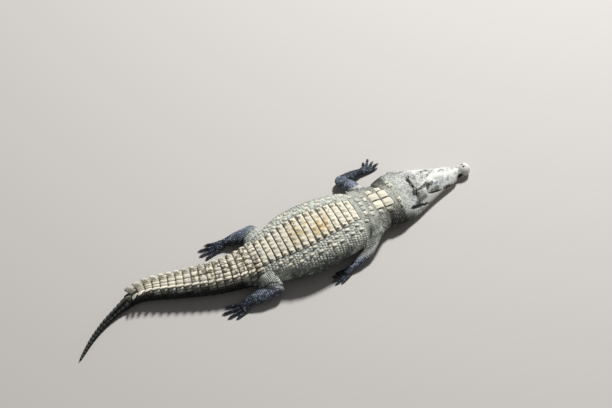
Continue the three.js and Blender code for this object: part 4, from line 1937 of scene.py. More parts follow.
@dataclass
class HeadSculptor:
    """Gives the head's skin its lids, nostrils, ears, seams and lips."""

    frame: HeadFrame
    eyes: list[Eye]
    # Each stroke: place, size, push, painted shade in its hollow, then grey, green and cracked
    # patches.
    strokes: tuple[Stroke, ...] = (
        Stroke((0.062, 0.014, 0.105), (0.011, 0.006, 0.03), -0.010, 1.8),
        Stroke((0.062, 0.013, 0.105), (0.018, 0.013, 0.03), 0.004, 0.3),
        Stroke((0.100, 0.000, 0.095), (0.006, 0.045, 0.03), -0.003, 0.1),
        Stroke((0.108, 0.024, 0.092), (0.007, 0.014, 0.02), -0.004, 0.9),
        Stroke((0.120, 0.040, 0.075), (0.020, 0.012, 0.03), -0.004, 0.5),
        Stroke((0.330, 0.036, 0.140), (0.060, 0.008, 0.05), 0.004),
        Stroke((0.330, 0.000, 0.150), (0.055, 0.018, 0.05), 0.004),
        Stroke((0.405, 0.000, 0.190), (0.035, 0.018, 0.04), -0.006, 0.1),
        Stroke((0.400, 0.032, 0.195), (0.040, 0.007, 0.03), 0.003),
        Stroke((0.492, 0.034, 0.190), (0.017, 0.014, 0.03), -0.005, 0.15),
        Stroke((0.470, 0.078, 0.156), (0.024, 0.010, 0.010), 0.002),
        Stroke((0.512, 0.080, 0.158), (0.015, 0.008, 0.006), -0.004, 0.60),
        # Painted shadow in the notch behind the nose bulb.
        Stroke((0.118, 0.056, 0.056), (0.032, 0.022, 0.027), -0.009, 1.6),
        Stroke((0.145, 0.028, 0.088), (0.012, 0.012, 0.012), -0.002, 0.55),
        Stroke((0.525, 0.070, 0.186), (0.014, 0.014, 0.02), 0.004),
        Stroke((0.240, 0.045, 0.105), (0.085, 0.024, 0.03), grey=0.85),
        Stroke((0.330, 0.060, 0.125), (0.070, 0.022, 0.03), grey=0.95),
        Stroke((0.265, 0.095, 0.072), (0.034, 0.018, 0.014), grey=1.0, dark=0.35),
        Stroke((0.445, 0.090, 0.140), (0.030, 0.018, 0.02), grey=0.80),
        Stroke((0.495, 0.112, 0.130), (0.032, 0.026, 0.025), grey=0.95),
        Stroke((0.552, 0.136, 0.114), (0.030, 0.024, 0.022), grey=0.95),
        # Painted shade on the side of the upper jaw, below the eye.
        Stroke((0.352, 0.092, 0.112), (0.040, 0.022, 0.014), green=1.5),
        Stroke((0.396, 0.094, 0.126), (0.026, 0.018, 0.012), green=1.2),
        Stroke((0.462, 0.045, 0.185), (0.055, 0.050, 0.03), cracked=1.2),
        Stroke((0.385, 0.085, 0.135), (0.040, 0.030, 0.03), cracked=0.6)
    )
    lines: tuple[Line, ...] = (
        Line(
            (
                (0.316, 0.10, 0.080), (0.345, 0.104, 0.091), (0.396, 0.106, 0.11),
                (0.44, 0.102, 0.124)
            ),
            (0.003, 0.0062, 0.0058, 0.002), -0.003
        ),
        Line(
            (
                (0.476, 0.15, 0.083), (0.552, 0.156, 0.094), (0.600, 0.158, 0.112),
                (0.63, 0.16, 0.134)
            ),
            (0.003, 0.0070, 0.0095, 0.004), -0.004
        ),
        Line(
            (
                (0.205, 0.09, 0.054), (0.232, 0.094, 0.060), (0.262, 0.097, 0.066),
                (0.30, 0.10, 0.076)
            ),
            (0.005, 0.0090, 0.0055, 0.003)
        ),
        Line(((0.228, 0.094, 0.056), (0.238, 0.090, 0.076)), (0.0050, 0.0035)),
        Line(((0.252, 0.094, 0.060), (0.266, 0.090, 0.084)), (0.0050, 0.0035)),
        Line(((0.278, 0.097, 0.068), (0.290, 0.092, 0.092)), (0.0045, 0.0035)),
        Line(((0.500, 0.118, 0.122), (0.512, 0.108, 0.142)), (0.0045, 0.002)),
        Line(((0.470, 0.112, 0.122), (0.490, 0.104, 0.136)), (0.0035, 0.002)),
        Line(((0.545, 0.134, 0.112), (0.560, 0.126, 0.128)), (0.0045, 0.002))
    )
    crack: float = 0.537
    crack_width: float = 0.0034
    lip: float = 0.004
    tooth_pitch: float = 0.033
    jowl_pitch: float = 0.021

    def sculpt(self, points: Array, normals: Array) -> Arrays:
        """Moves the head's skin.

        Args:
            points: places of the skin's vertices.
            normals: their normals.

        Returns:
            The moved places, how dark each is marked, and its patches.
        """
        u, v, z = self.frame.read(points)
        push, dark, face = np.zeros_like(u), np.zeros_like(u), np.zeros((len(u), 3))
        for stroke in self.strokes:
            weight = stroke.weight(u, v, z)
            push += stroke.push * weight
            dark = np.maximum(dark, stroke.dark * weight)
            patch = np.array([stroke.grey, stroke.green, stroke.cracked])
            face = np.maximum(face, weight[:, None] * patch)
        for line in self.lines:
            weight = line.weight(u, v, z)
            push += line.push * weight
            dark = np.maximum(dark, weight)
        seam_push, seam_dark = self._table_seam(u, v, z)
        lip_push, lip_dark = self._mouth(u, v, z, normals)
        push += seam_push + lip_push
        push += self._jowl(u, v, z)
        dark = np.maximum.reduce([dark, seam_dark, lip_dark])
        moved = points + normals * push[:, None]
        for eye in self.eyes:
            moved, rim = eye.carve(moved)
            dark = np.maximum(dark, rim)
        return moved, dark, face

    def _table_seam(self, u: Array, v: Array, z: Array) -> Arrays:
        """Jagged crease behind the skull's flat top, with painted shade in it.

        Args:
            u, v, z: head coordinates of the places.

        Returns:
            How far the skin moves out, and how dark it is.
        """
        line = self.crack + 0.010 * np.sin(v * 46 + 0.6) + 0.004 * np.sin(v * 151)
        shape = np.exp(-(((u - line) / self.crack_width) ** 2))
        shape = shape * window(np.abs(v), 0.0, 0.082, 0.012)
        shape = shape * ease(z, 0.11, 0.14)
        return -0.0025 * shape, np.minimum(shape * 2.6, 1.0)

    def _mouth(self, u: Array, v: Array, z: Array, normals: Array) -> Arrays:
        """Crease between the jaws, with the lip swelling over each tooth.

        Args:
            u, v, z: head coordinates of the places; v is not used.
            normals: directions outwards there.

        Returns:
            How far the skin moves out, and how dark it is.
        """
        level = np.hypot(normals[:, 0], normals[:, 1])
        side = ease(level, 0.35, 0.7) * (1 - ease(u, 0.595, 0.612))
        gap = z - self.frame.mouth_height(u)
        wide = 0.0042 + 0.0050 * window(u, 0.31, 0.39, 0.02) + 0.0035 * window(u, 0.50, 0.59, 0.03)
        # Painted shade in the crease between the jaws.
        groove = np.exp(-((gap / wide) ** 2)) * side
        bumps = 0.5 + 0.5 * np.cos(u * 2 * math.pi / self.tooth_pitch)
        toothed = side * (1 - ease(u, 0.36, 0.44))
        above = np.exp(-(((gap - 0.013) / 0.008) ** 2)) * toothed
        below = np.exp(-(((gap + 0.014) / 0.008) ** 2)) * toothed
        push = -0.007 * groove + self.lip * bumps * above + self.lip * 0.6 * (1 - bumps) * below
        return push, groove

    def _jowl(self, u: Array, v: Array, z: Array) -> Array:
        """Small folds round the corner of the mouth."""
        region = window(u, 0.52, 0.62, 0.03) * window(np.abs(v), 0.15, 0.3, 0.02)
        return 0.0016 * np.sin((u * 0.9 + z * 0.5) * 2 * math.pi / self.jowl_pitch) * region


# ---------------------------------------------------------------- skin


def relax(form: Form, verts: Sequence[Corner], passes: int) -> None:
    """Smooths some vertices of a form.

    Args:
        form: the form.
        verts: those of its vertices.
        passes: rounds of smoothing.
    """
    for _ in range(passes):
        bmesh.ops.smooth_vert(
            form, verts=verts, factor=0.5, use_axis_x=True, use_axis_y=True, use_axis_z=True
        )


def remeshed(form: Form, voxel: float, passes: int) -> Form:
    """One closed surface round everything in a mesh, softened.

    Args:
        form: closed shapes that overlap. It is used up.
        voxel: size of the faces.
        passes: rounds of softening.

    Returns:
        A new mesh, of its largest closed shell only.
    """
    draft = mesh_of(form)
    holder = linked("draft", draft)
    wrap = holder.modifiers.new("wrap", "REMESH")
    wrap.mode = "VOXEL"
    wrap.voxel_size = voxel
    ready = holder.evaluated_get(bpy.context.evaluated_depsgraph_get())
    result = bmesh.new()
    result.from_mesh(ready.data)
    bpy.data.objects.remove(holder)
    bpy.data.meshes.remove(draft)
    keep_largest_shell(result)
    relax(result, result.verts, passes)
    return result


def keep_largest_shell(form: Form) -> None:
    """Removes every shell but the one with the most vertices.

    Args:
        form: the form, which is cut down.
    """
    seen: set[Corner] = set()
    shells = []
    for first in form.verts:
        if first in seen:
            continue
        seen.add(first)
        shell, stack = [first], [first]
        while stack:
            corner = stack.pop()
            for edge in corner.link_edges:
                other = edge.other_vert(corner)
                if other not in seen:
                    seen.add(other)
                    shell.append(other)
                    stack.append(other)
        shells.append(shell)
    shells.sort(key=len)
    for shell in shells[:-1]:
        bmesh.ops.delete(form, geom=shell, context="VERTS")


def arrays_of(form: Form) -> Arrays:
    """Places and normals of a mesh's vertices.

    Args:
        form: the form.

    Returns:
        (n, 3) places and (n, 3) normals.
    """
    form.normal_update()
    places = np.array([corner.co for corner in form.verts])
    return places, np.array([corner.normal for corner in form.verts])


def move_to(form: Form, places: Array) -> None:
    """Puts a mesh's vertices at new places."""
    for corner, place in zip(form.verts, places):
        corner.co = place


@dataclass
class Skin:
    """The one skin under the scales, from snout to tail and toes."""

    nodes: Nodes
    body: Body
    legs: list[Leg]
    sculptor: HeadSculptor
    armour: "Armour"
    material: Material
    voxel: float = 0.009
    head_voxel: float = 0.0045
    foot_voxel: float = 0.0035
    seam: float = 0.115
    overlap: float = 0.012
    foot_coat: float = 0.002
    # Reach in metres and rounds of softening: legs into body, then head into neck.
    fillets: tuple[tuple[float, int], ...] = ((0.050, 6), (0.030, 14))
    nape_fillets: tuple[tuple[float, int], ...] = ((0.075, 20), (0.05, 30), (0.03, 30))
    collar_rows: int = 34
    foot_rise: float = 0.55
    grip: float = 0.032
    # Metres aside and up, at the two ends of the slope beside the skull's top.
    temple: tuple[Pair, Pair] = ((0.076, 0.136), (0.182, 0.136))
    tree: BVHTree = field(init=False)
    trees: dict[str, BVHTree] = field(init=False)

    def build(self) -> Piece:
        """Returns:
            The piece.
        """
        hides = [self.body.hide, *(leg.hide for leg in self.legs)]
        self.trees = {hide.name: hide.tree() for hide in hides}
        parts = [self._trunk(), self._head()] + [self._foot(leg) for leg in self.legs]
        trunk, head = parts[:2]
        moved, dark, patches = self.sculptor.sculpt(*arrays_of(head))
        move_to(head, moved)
        at_head = slice(len(trunk.verts), len(trunk.verts) + len(head.verts))
        whole = bmesh.new()
        for part in parts:
            join_into(whole, part)
        mark, face = np.zeros(len(whole.verts)), np.zeros((len(whole.verts), 3))
        mark[at_head], face[at_head] = dark, patches
        for corner in whole.verts:
            corner.co.z = max(corner.co.z, SKIN_OVER_FLOOR)
        self.tree = BVHTree.FromBMesh(whole)
        lie, scale = self._layers(arrays_of(whole)[0], at_head)
        # Painted shade in the body's creases and on the skin between the plates.
        folds = self.body.hide.shades(*self._where(lie))
        mark = np.maximum.reduce([mark, folds, self._gaps(lie)])
        mesh = mesh_of(whole, "skin")
        set_point_data(mesh, lie=lie, scale=scale, mark=mark, face=face)
        piece = put_in_scene(mesh, "skin", Slot.BACK, self.material)
        flesh = ["skull", "lower_jaw", *TRUNK_NODES, *TAIL_NODES]
        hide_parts(*flesh, *[node for leg in self.legs for node in leg.nodes])
        return piece

    def _where(self, lie: Array) -> Arrays:
        """Places down and round the right side of the body that markings belong to.

        Args:
            lie: what the markings follow at each place.

        Returns:
            Along and across of each place.
        """
        hide = self.body.hide
        along = np.maximum(lie[:, 0] - hide.station, 0.0)
        return along, (lie[:, 1] - 1) * hide.half_girth(along)

    def _gaps(self, lie: Array) -> Array:
        """Painted shade on the skin between the large plates.

        Args:
            lie: what the markings follow at each place.

        Returns:
            The darkness, from 0 to 1.
        """
        along, across = self._where(lie)
        armour, start = self.armour, self.body.tail_start
        shield = 1 - ease(-across - armour.shield_half(along), -0.004, 0.006)
        shield *= window(along, armour.first, start, 0.02)
        nape = (1 - ease(-across, 0.118, 0.130)) * window(along, 0.092, 0.262, 0.012)
        tail = ease(along, start, start + 0.02) * ease(lie[:, 1], 0.45, 0.60)
        return np.maximum.reduce([0.7 * shield, 0.65 * nape, 0.7 * tail])

    def fitted(self, hide: Hide, spots: "Spots") -> "Spots":
        """Moves spots of a hide onto the skin, and drops those inside another part.

        Args:
            hide: the hide that the spots lie on.
            spots: the spots.

        Returns:
            The spots that show, each with its shift.
        """
        rest = ["body"] if hide.limb else [leg.name for leg in self.legs]
        others = [self.trees[name] for name in rest]
        places = hide.place(spots.along, spots.across, np.zeros_like(spots.along))
        keep = np.zeros(len(places), bool)
        for number, place in enumerate(places):
            spot = Vector(place)
            found = self.tree.find_nearest(spot, self.grip)[0]
            if found is None or any(self._inside(tree, spot) for tree in others):
                continue
            keep[number] = True
            spots.shift[number] = found - spot
        return spots.kept(keep)

    @staticmethod
    def _inside(tree: BVHTree, spot: Vector) -> bool:
        """Whether a place is inside a closed tube, by the faces that lie over it.

        Args:
            tree: the tube.
            spot: the place.

        Returns:
            True inside it.
        """
        turns, start, up = 0, spot, Vector(UP)
        while True:
            near, normal, _, _ = tree.ray_cast(start, up)
            if near is None:
                return turns > 0
            turns += 1 if normal.z > 0 else -1
            start = near + up * 1e-5

    def _copy(self, form: Form, names: Iterable[str], shrink: float = 0.0) -> None:
        """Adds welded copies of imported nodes, drawn in by a little.

        Args:
            form: what takes the copies.
            names: the nodes.
            shrink: how far they are drawn in, in metres.
        """
        copy = bmesh.new()
        for name in names:
            copy.from_mesh(self.nodes[name].data)
        bmesh.ops.remove_doubles(copy, verts=copy.verts, dist=WELD)
        if shrink:
            places, normals = arrays_of(copy)
            move_to(copy, places - normals * shrink)
        join_into(form, copy)

    def _cut(self, form: Form, along: float, keep_front: bool) -> None:
        """Cuts a shell across the neck and closes the cut.

        Args:
            form: the shell.
            along: where, in metres down the body.
            keep_front: which end stays.
        """
        row = int(along / self.body.hide.step)
        middle = self.body.hide.points.mean(axis=1)
        back = Vector(unit(middle[row + 3] - middle[row - 3]))
        reach = self.body.hide.half[row] / 2
        near = {c for c in form.verts if (c.co - Vector(middle[row])).cross(back).length < reach}
        faces = [face for face in form.faces if near.issuperset(face.verts)]
        edges = {edge for face in faces for edge in face.edges}
        bmesh.ops.bisect_plane(
            form, geom=list(near) + list(edges) + faces, plane_co=Vector(middle[row]),
            plane_no=back, clear_outer=keep_front, clear_inner=not keep_front
        )
        bmesh.ops.holes_fill(form, edges=[e for e in form.edges if e.is_boundary], sides=0)

    def _trunk(self) -> Form:
        """Body and legs behind the head.

        Returns:
            The shell, cut behind the head.
        """
        form = bmesh.new()
        self.body.hide.tube(form)
        for leg in self.legs:
            leg.hide.tube(form)
        shell = remeshed(form, self.voxel, 3)
        self._soften(shell)
        self._cut(shell, self.seam, keep_front=False)
        return shell

    def _soften(self, shell: Form) -> None:
        """Rounds the creases where the legs leave the body.

        Args:
            shell: the skin of body and legs.
        """
        trunk = self.trees["body"]
        for reach, passes in self.fillets:
            for leg in self.legs:
                limb = self.trees[leg.name]
                near = [
                    corner
                    for corner in shell.verts
                    if all(tree.find_nearest(corner.co, reach)[0] for tree in (trunk, limb))
                ]
                relax(shell, near, passes)

    def _head(self) -> Form:
        """Head and the front of the neck, finer than the rest.

        Returns:
            The shell, cut a little behind the seam.
        """
        form = bmesh.new()
        first = self.body.hide.points[:1]
        middle = first.mean(axis=1, keepdims=True)
        ahead = middle + (first - middle) * 0.9 - self.sculptor.frame.back * 0.05
        rows = np.concatenate([ahead, self.body.hide.points[: self.collar_rows]])
        replace(self.body.hide, points=rows).tube(form)
        self._copy(form, ["skull", "lower_jaw"], 0.0008)
        shell = remeshed(form, self.head_voxel, 3)
        self._cut(shell, self.seam + self.overlap, keep_front=True)
        frame = self.sculptor.frame
        for reach, passes in self.nape_fillets:
            apart = np.abs(frame.read(arrays_of(shell)[0])[0] - frame.length)
            near = [corner for corner, gap in zip(shell.verts, apart) if gap < reach]
            relax(shell, near, passes)
        self._slope_temples(shell)
        for eye in self.sculptor.eyes:
            centre, reach = Vector(eye.centre), eye.radius * 2.0
            near = {corner for corner in shell.verts if (corner.co - centre).length < reach}
            edges = [edge for edge in shell.edges if near.issuperset(edge.verts)]
            bmesh.ops.subdivide_edges(shell, edges=edges, cuts=1, use_grid_fill=True)
        return shell

    def _slope_temples(self, shell: Form) -> None:
        """Fills the corner between the skull's flat top and the cheeks with a slope.

        Args:
            shell: the skin of the head.
        """
        u, v, z = self.sculptor.frame.read(arrays_of(shell)[0])
        side = np.abs(v)
        slope = np.interp(side, self.temple[0], self.temple[1])
        inside = window(u, 0.462, 0.524, 0.014) * window(side, 0.068, 0.140, 0.008) * (z > 0.118)
        lift = np.maximum(slope - z, 0.0) * inside
        for corner, rise in zip(shell.verts, lift):
            corner.co.z += rise
        near = (u > 0.435) & (u < 0.550) & (side > 0.060) & (side < 0.135) & (z > 0.11)
        relax(shell, [corner for corner, taken in zip(shell.verts, near) if taken], 14)

    def _foot(self, leg: Leg) -> Form:
        """One hand or foot, fine enough for its toes.

        Args:
            leg: its leg.

        Returns:
            The shell.
        """
        form = bmesh.new()
        self._copy(form, [leg.foot], self.foot_coat)
        return remeshed(form, self.foot_voxel, 2)

    def _layers(self, places: Array, at_head: slice) -> Arrays:
        """The layers that the markings follow, for every vertex of the skin.

        Args:
            places: (n, 3) places of the vertices.
            at_head: those of the head, which the feet follow.

        Returns:
            The layers lie and scale.
        """
        hides = [self.body.hide] + [leg.hide for leg in self.legs]
        grids = [hide.grid() for hide in hides]
        spots, values = (np.concatenate(parts) for parts in zip(*grids))
        tree = nearest(spots)
        lie = values[[tree.find(place)[1] for place in places]]
        u, _, z = self.sculptor.frame.read(places)
        length = self.sculptor.frame.length
        is_head = np.zeros(len(places))
        is_head[at_head] = 1
        head = is_head * (1 - ease(u, length - 0.03, length + 0.03))
        level = np.clip(z / (0.105 + 0.075 * ease(u, 0.2, 0.5)), 0, 1)
        own = np.stack([u, level, np.zeros_like(u)], -1)
        lie = lie * (1 - head[:, None]) + own * head[:, None]
        along, across = self._where(lie)
        edge = -across - self.armour.shield_half(along)
        side = ease(lie[:, 1], 0.19, 0.31)
        flank = ease(edge, 0.022, 0.034) * side * (1 - ease(along, 1.15, 1.3))
        neck = (1 - ease(along, 0.33, 0.37)) * side
        rise = np.maximum.reduce([head, 0.50 * flank, 0.60 * neck])
        rise[at_head.stop :] = self.foot_rise
        scale = np.stack([rise, np.full_like(rise, 0.5), np.zeros_like(rise)], -1)
        return lie, scale


# ---------------------------------------------------------------- the coats of scales


@dataclass
class Armour:
    """Bony plates of the back: cross rows of the trunk, and the plates of the neck."""

    body: Body
    material: Material
    rows: int = 15
    first: float = 0.430
    spread: tuple[float, ...] = (0.092, 0.118, 0.136, 0.145, 0.140, 0.120, 0.108)
    plate_width: float = 0.044
    gap: float = 0.0075
    thick: float = 0.0060
    keels: Pair = (0.0085, 0.0260)
    # Metres outside the shield, and how far back the line starts.
    loose_lines: tuple[Pair, ...] = ((0.030, 0.0), (0.078, 0.045))
    loose_pitch: float = 0.088
    # Each form ends with where its painted keel shadow lies.
    plate_form: ScaleForm = ScaleForm(
        (9, 10), corner=12.0, bevel=0.035, rim=0.84, keel_width=0.34, keel_peak=0.50,
        stain=(0.40, -0.55, 0.42, 0.30)
    )
    neck_form: ScaleForm = replace(
        plate_form, cells=(7, 8), corner=5.0, bevel=0.08, stain=(0.1, -0.98, 0.7, 0.22)
    )
    loose_form: ScaleForm = replace(
        plate_form, cells=(5, 4), corner=2.6, bevel=0.16, rim=0.5, stain=(-0.2, -0.9, 0.6, 0.3)
    )

    @property
    def pitch(self) -> float:
        """Distance between cross rows."""
        return (self.body.tail_start - self.first) / self.rows

    def shield_half(self, along: Array) -> Array:
        """Half the width of the shield of rows, measured over the back."""
        share = (along - self.first) / (self.body.tail_start - self.first)
        return np.interp(share, np.linspace(0, 1, len(self.spread)), self.spread)

    def cross_rows(self) -> Spots:
        """Plates of the trunk.

        Returns:
            Where they sit.
        """
        draw = np.random.default_rng(SEED)
        groups = []
        for number in range(self.rows):
            along = self.first + (number + 0.5) * self.pitch
            half = float(self.shield_half(np.array(along)))
            side = max(2, round(half / self.plate_width))
            width, count = half / side, 2 * side
            middles = (np.arange(-side, side) + 0.5) * width
            outer = np.abs(middles) / half
            keel = self.keels[0] + (self.keels[1] - self.keels[0]) * ease(outer, 0.55, 0.95)
            tilt = draw.normal(0, 0.018)
            groups.append(
                Spots.at(
                    along + draw.normal(0, 0.0010, count) + tilt * middles,
                    middles + draw.normal(0, 0.0006, count),
                    length=self.pitch - self.gap - 0.006 * (outer > 0.8), width=width + 0.0012,
                    plate=self.thick * draw.uniform(0.85, 1.15, count),
                    keel=keel * draw.uniform(0.6, 1.15, count),
                    cream=1.0 - 0.12 * draw.random(count), turn=draw.normal(0, 0.015, count),
                    # painted keel shadow, strongest on the outer plates
                    stain=np.clip(draw.normal(0.60, 0.45, count) + 0.5 * (outer > 0.8), 0, 1)
                )
            )
        return Spots.joined(groups)

    def neck_plates(self) -> Spots:
        """Two rows of large plates on the neck, and the small row behind the head.

        Returns:
            Where they sit.
        """
        # Along, across, length, width, height of the keel, cream.
        table = (
            (0.132, 0.041, 0.086, 0.080, 0.012, 0.92), (0.150, 0.104, 0.058, 0.046, 0.014, 1.0),
            (0.223, 0.039, 0.084, 0.076, 0.012, 0.92), (0.236, 0.100, 0.050, 0.044, 0.014, 0.9),
            (0.026, 0.074, 0.038, 0.042, 0.014, 0.85), (0.034, 0.122, 0.030, 0.034, 0.010, 0.45),
            (0.304, 0.045, 0.036, 0.040, 0.008, 0.60), (0.318, 0.092, 0.036, 0.038, 0.009, 0.45),
            (0.362, 0.022, 0.036, 0.040, 0.006, 0.40), (0.366, 0.068, 0.036, 0.042, 0.007, 0.40)
        )
        sign = np.repeat([1.0, -1.0], len(table))
        along, across, length, width, keel, cream = np.array(table * 2).T
        # The outer front plates on the right side of the neck get less cream: painted shade on
        # that side of the neck.
        shaded_right = (sign < 0) & (across > 0.095) & (along > 0.1) & (along < 0.3)
        cream = np.where(shaded_right, 0.35, cream)
        return Spots.at(
            along, across * sign, length=length, width=width, plate=0.0065, keel=keel, cream=cream,
            # painted shadow in the seams between the neck plates
            stain=1.6
        )

    def outliers(self) -> Spots:
        """Scattered keeled plates outside the rows.

        Returns:
            Where they sit.
        """
        draw = np.random.default_rng(SEED + 1)
        groups = []
        for line, shift in self.loose_lines:
            along = np.arange(0.41 + shift, self.body.tail_start - 0.08, self.loose_pitch)
            count = len(along)
            for sign in SIDES:
                where = along + draw.normal(0, 0.012, count)
                across = sign * (self.shield_half(where) + line + draw.normal(0, 0.007, count))
                groups.append(
                    Spots.at(
                        where, across, length=draw.uniform(0.038, 0.052, count),
                        width=draw.uniform(0.030, 0.038, count), plate=0.0055,
                        keel=draw.uniform(0.012, 0.019, count),
                        cream=draw.uniform(0.55, 0.95, count), turn=draw.normal(0, 0.08, count),
                        # painted shadow beside each keel
                        stain=0.9
                    )
                )
        return Spots.joined(groups)

    def build(self) -> Piece:
        """Models the plates.

        Returns:
            The piece.
        """
        coat = Coat("back_armour", Slot.BACK, self.material)
        for form, spots in (
            (self.plate_form, self.cross_rows()), (self.neck_form, self.neck_plates()),
            (self.loose_form, self.outliers())
        ):
            coat.stamp(self.body.hide, form.build(), spots)
        return coat.finish()

    def large(self) -> Spots:
        """Every plate, for the small scales to keep clear of."""
        return Spots.joined([self.cross_rows(), self.neck_plates(), self.outliers()])


def staggered(
    start: float, end: float, pitch: float, draw: np.random.Generator
) -> Iterable[tuple[int, float]]:
    """Numbered places of cross rows between two ends, a little uneven.

    Args:
        start: where they begin.
        end: where they end.
        pitch: about how far apart they are.
        draw: source of luck.

    Returns:
        Number and place of each row.
    """
    count = max(1, round((end - start) / pitch))
    step = (end - start) / count
    for number in range(count):
        yield number, start + (number + 0.5) * step + draw.normal(0, 0.02 * pitch)


@dataclass
class BodyScales:
    """Small scales of neck, flanks and belly."""

    body: Body
    skin: Skin
    armour: Armour
    material: Material
    belly_share: float = 0.74
    neck_end: float = 0.425
    flank_pitch: Pair = (0.0235, 0.0205)
    belly_pitch: Pair = (0.033, 0.030)
    neck_pitch: float = 0.0130
    oval: ScaleForm = ScaleForm((4, 4), corner=2.9, bevel=0.14, rim=0.5, keel_width=0.7)
    pebble: ScaleForm = ScaleForm((2, 2), corner=2.6, bevel=0.24, rim=0.5, keel_width=1.0)
    tile: ScaleForm = ScaleForm((2, 2), corner=9.0, bevel=0.08, rim=0.7, keel_width=1.0)

    def _rows(self, span: Pair, pitch: Pair, band: Band, seed: int, jitter: float) -> Arrays:
        """Staggered places in a band on both sides.

        Args:
            span: where the rows start and end along the body.
            pitch: distance between rows, and between scales of one row.
            band: low and high metres across at one place along.
            seed: start of the random draws.
            jitter: unevenness as a share of the pitch.

        Returns:
            Along and across of each place, and a random number for each.
        """
        draw = np.random.default_rng(seed)
        alongs, acrosses = [], []
        for number, along in staggered(*span, pitch[0], draw):
            low, high = band(along)
            count = max(1, round((high - low) / pitch[1]))
            step = (high - low) / count
            middles = low + (np.arange(count) + 0.5 + 0.25 * (-1) ** number) * step
            for sign in SIDES:
                alongs.append(along + draw.normal(0, jitter * pitch[0], count))
                acrosses.append(sign * (middles + draw.normal(0, jitter * pitch[1], count)))
        along, across = np.concatenate(alongs), np.concatenate(acrosses)
        return along, across, draw.random(len(along))

    def _coat(self, name: str, form: ScaleForm, spots: Spots, seed: int) -> Piece:
        """One piece of the scales that show on the skin.

        Args:
            name: the piece's name.
            form: shape of one scale.
            spots: where they sit.
            seed: start of the random draws.

        Returns:
            The piece.
        """
        coat = Coat(name, Slot.BACK, self.material, seed)
        coat.stamp(self.body.hide, form.build(), self.skin.fitted(self.body.hide, spots))
        return coat.finish()

    def flank(self) -> Piece:
        """Oval scales of the flanks.

        Returns:
            The piece.
        """
        half = self.body.hide.half_girth

        def band(along: float) -> Pair:
            """From the edge of the shield down to the belly."""
            inner = float(self.armour.shield_half(np.array(along))) + 0.010
            return inner, self.belly_share * float(half(along))

        span = (self.neck_end, self.body.tail_start + 0.02)
        along, across, luck = self._rows(span, self.flank_pitch, band, SEED + 2, 0.09)
        share = np.abs(across) / half(along)
        cream = 0.14 * (1 - ease(share, 0.30, 0.48)) + 0.42 * ease(luck, 0.72, 1.0)
        spots = Spots.at(
            along, across, length=self.flank_pitch[0] * (0.97 + 0.12 * luck),
            width=self.flank_pitch[1] * (1.06 + 0.14 * luck), plate=0.0042, keel=0.0022 * luck,
            cream=cream
        )
        spots = spots.clear_of(self.armour.large())
        return self._coat("flank_scales", self.oval, spots, SEED + 3)

    def belly(self) -> Piece:
        """Flat tiles of the belly and throat.

        Returns:
            The piece.
        """
        half = self.body.hide.half_girth

        def band(along: float) -> Pair:
            """From the flank to the middle of the belly."""
            whole = float(half(along))
            return self.belly_share * whole, whole - 0.004

        span = (0.02, self.body.tail_start)
        along, across, _ = self._rows(span, self.belly_pitch, band, SEED + 4, 0.0)
        inner = self.belly_share * half(along)
        room = half(along) * (1 - self.belly_share) - 0.004
        count = np.maximum(1, np.round(room / self.belly_pitch[1]))
        step = room / count
        number = np.clip(np.floor((np.abs(across) - inner) / step), 0, count - 1)
        across = np.sign(across) * (inner + (number + 0.5) * step)
        spots = Spots.at(
            along, across, length=self.belly_pitch[0] - 0.002, width=step - 0.0015, plate=0.0024
        )
        return self._coat("belly_scales", self.tile, spots, SEED + 5)

    def neck(self) -> Piece:
        """Pebbly scales of the neck and shoulders.

        Returns:
            The piece.
        """
        half = self.body.hide.half_girth

        def band(along: float) -> Pair:
            """From the middle of the back down to the throat."""
            return 0.0, self.belly_share * float(half(along))

        pitch = self.neck_pitch
        span = (0.010, self.neck_end)
        along, across, luck = self._rows(span, (pitch, pitch), band, SEED + 6, 0.10)
        share = np.abs(across) / half(along)
        spots = Spots.at(
            along, across, length=pitch * (0.96 + 0.12 * luck), width=pitch * (0.94 + 0.10 * luck),
            plate=0.0030, keel=0.0008 * luck,
            cream=0.30 * (1 - ease(share, 0.15, 0.45)) + 0.15 * luck
        )
        spots = spots.clear_of(self.armour.large())
        return self._coat("neck_scales", self.pebble, spots, SEED + 7)


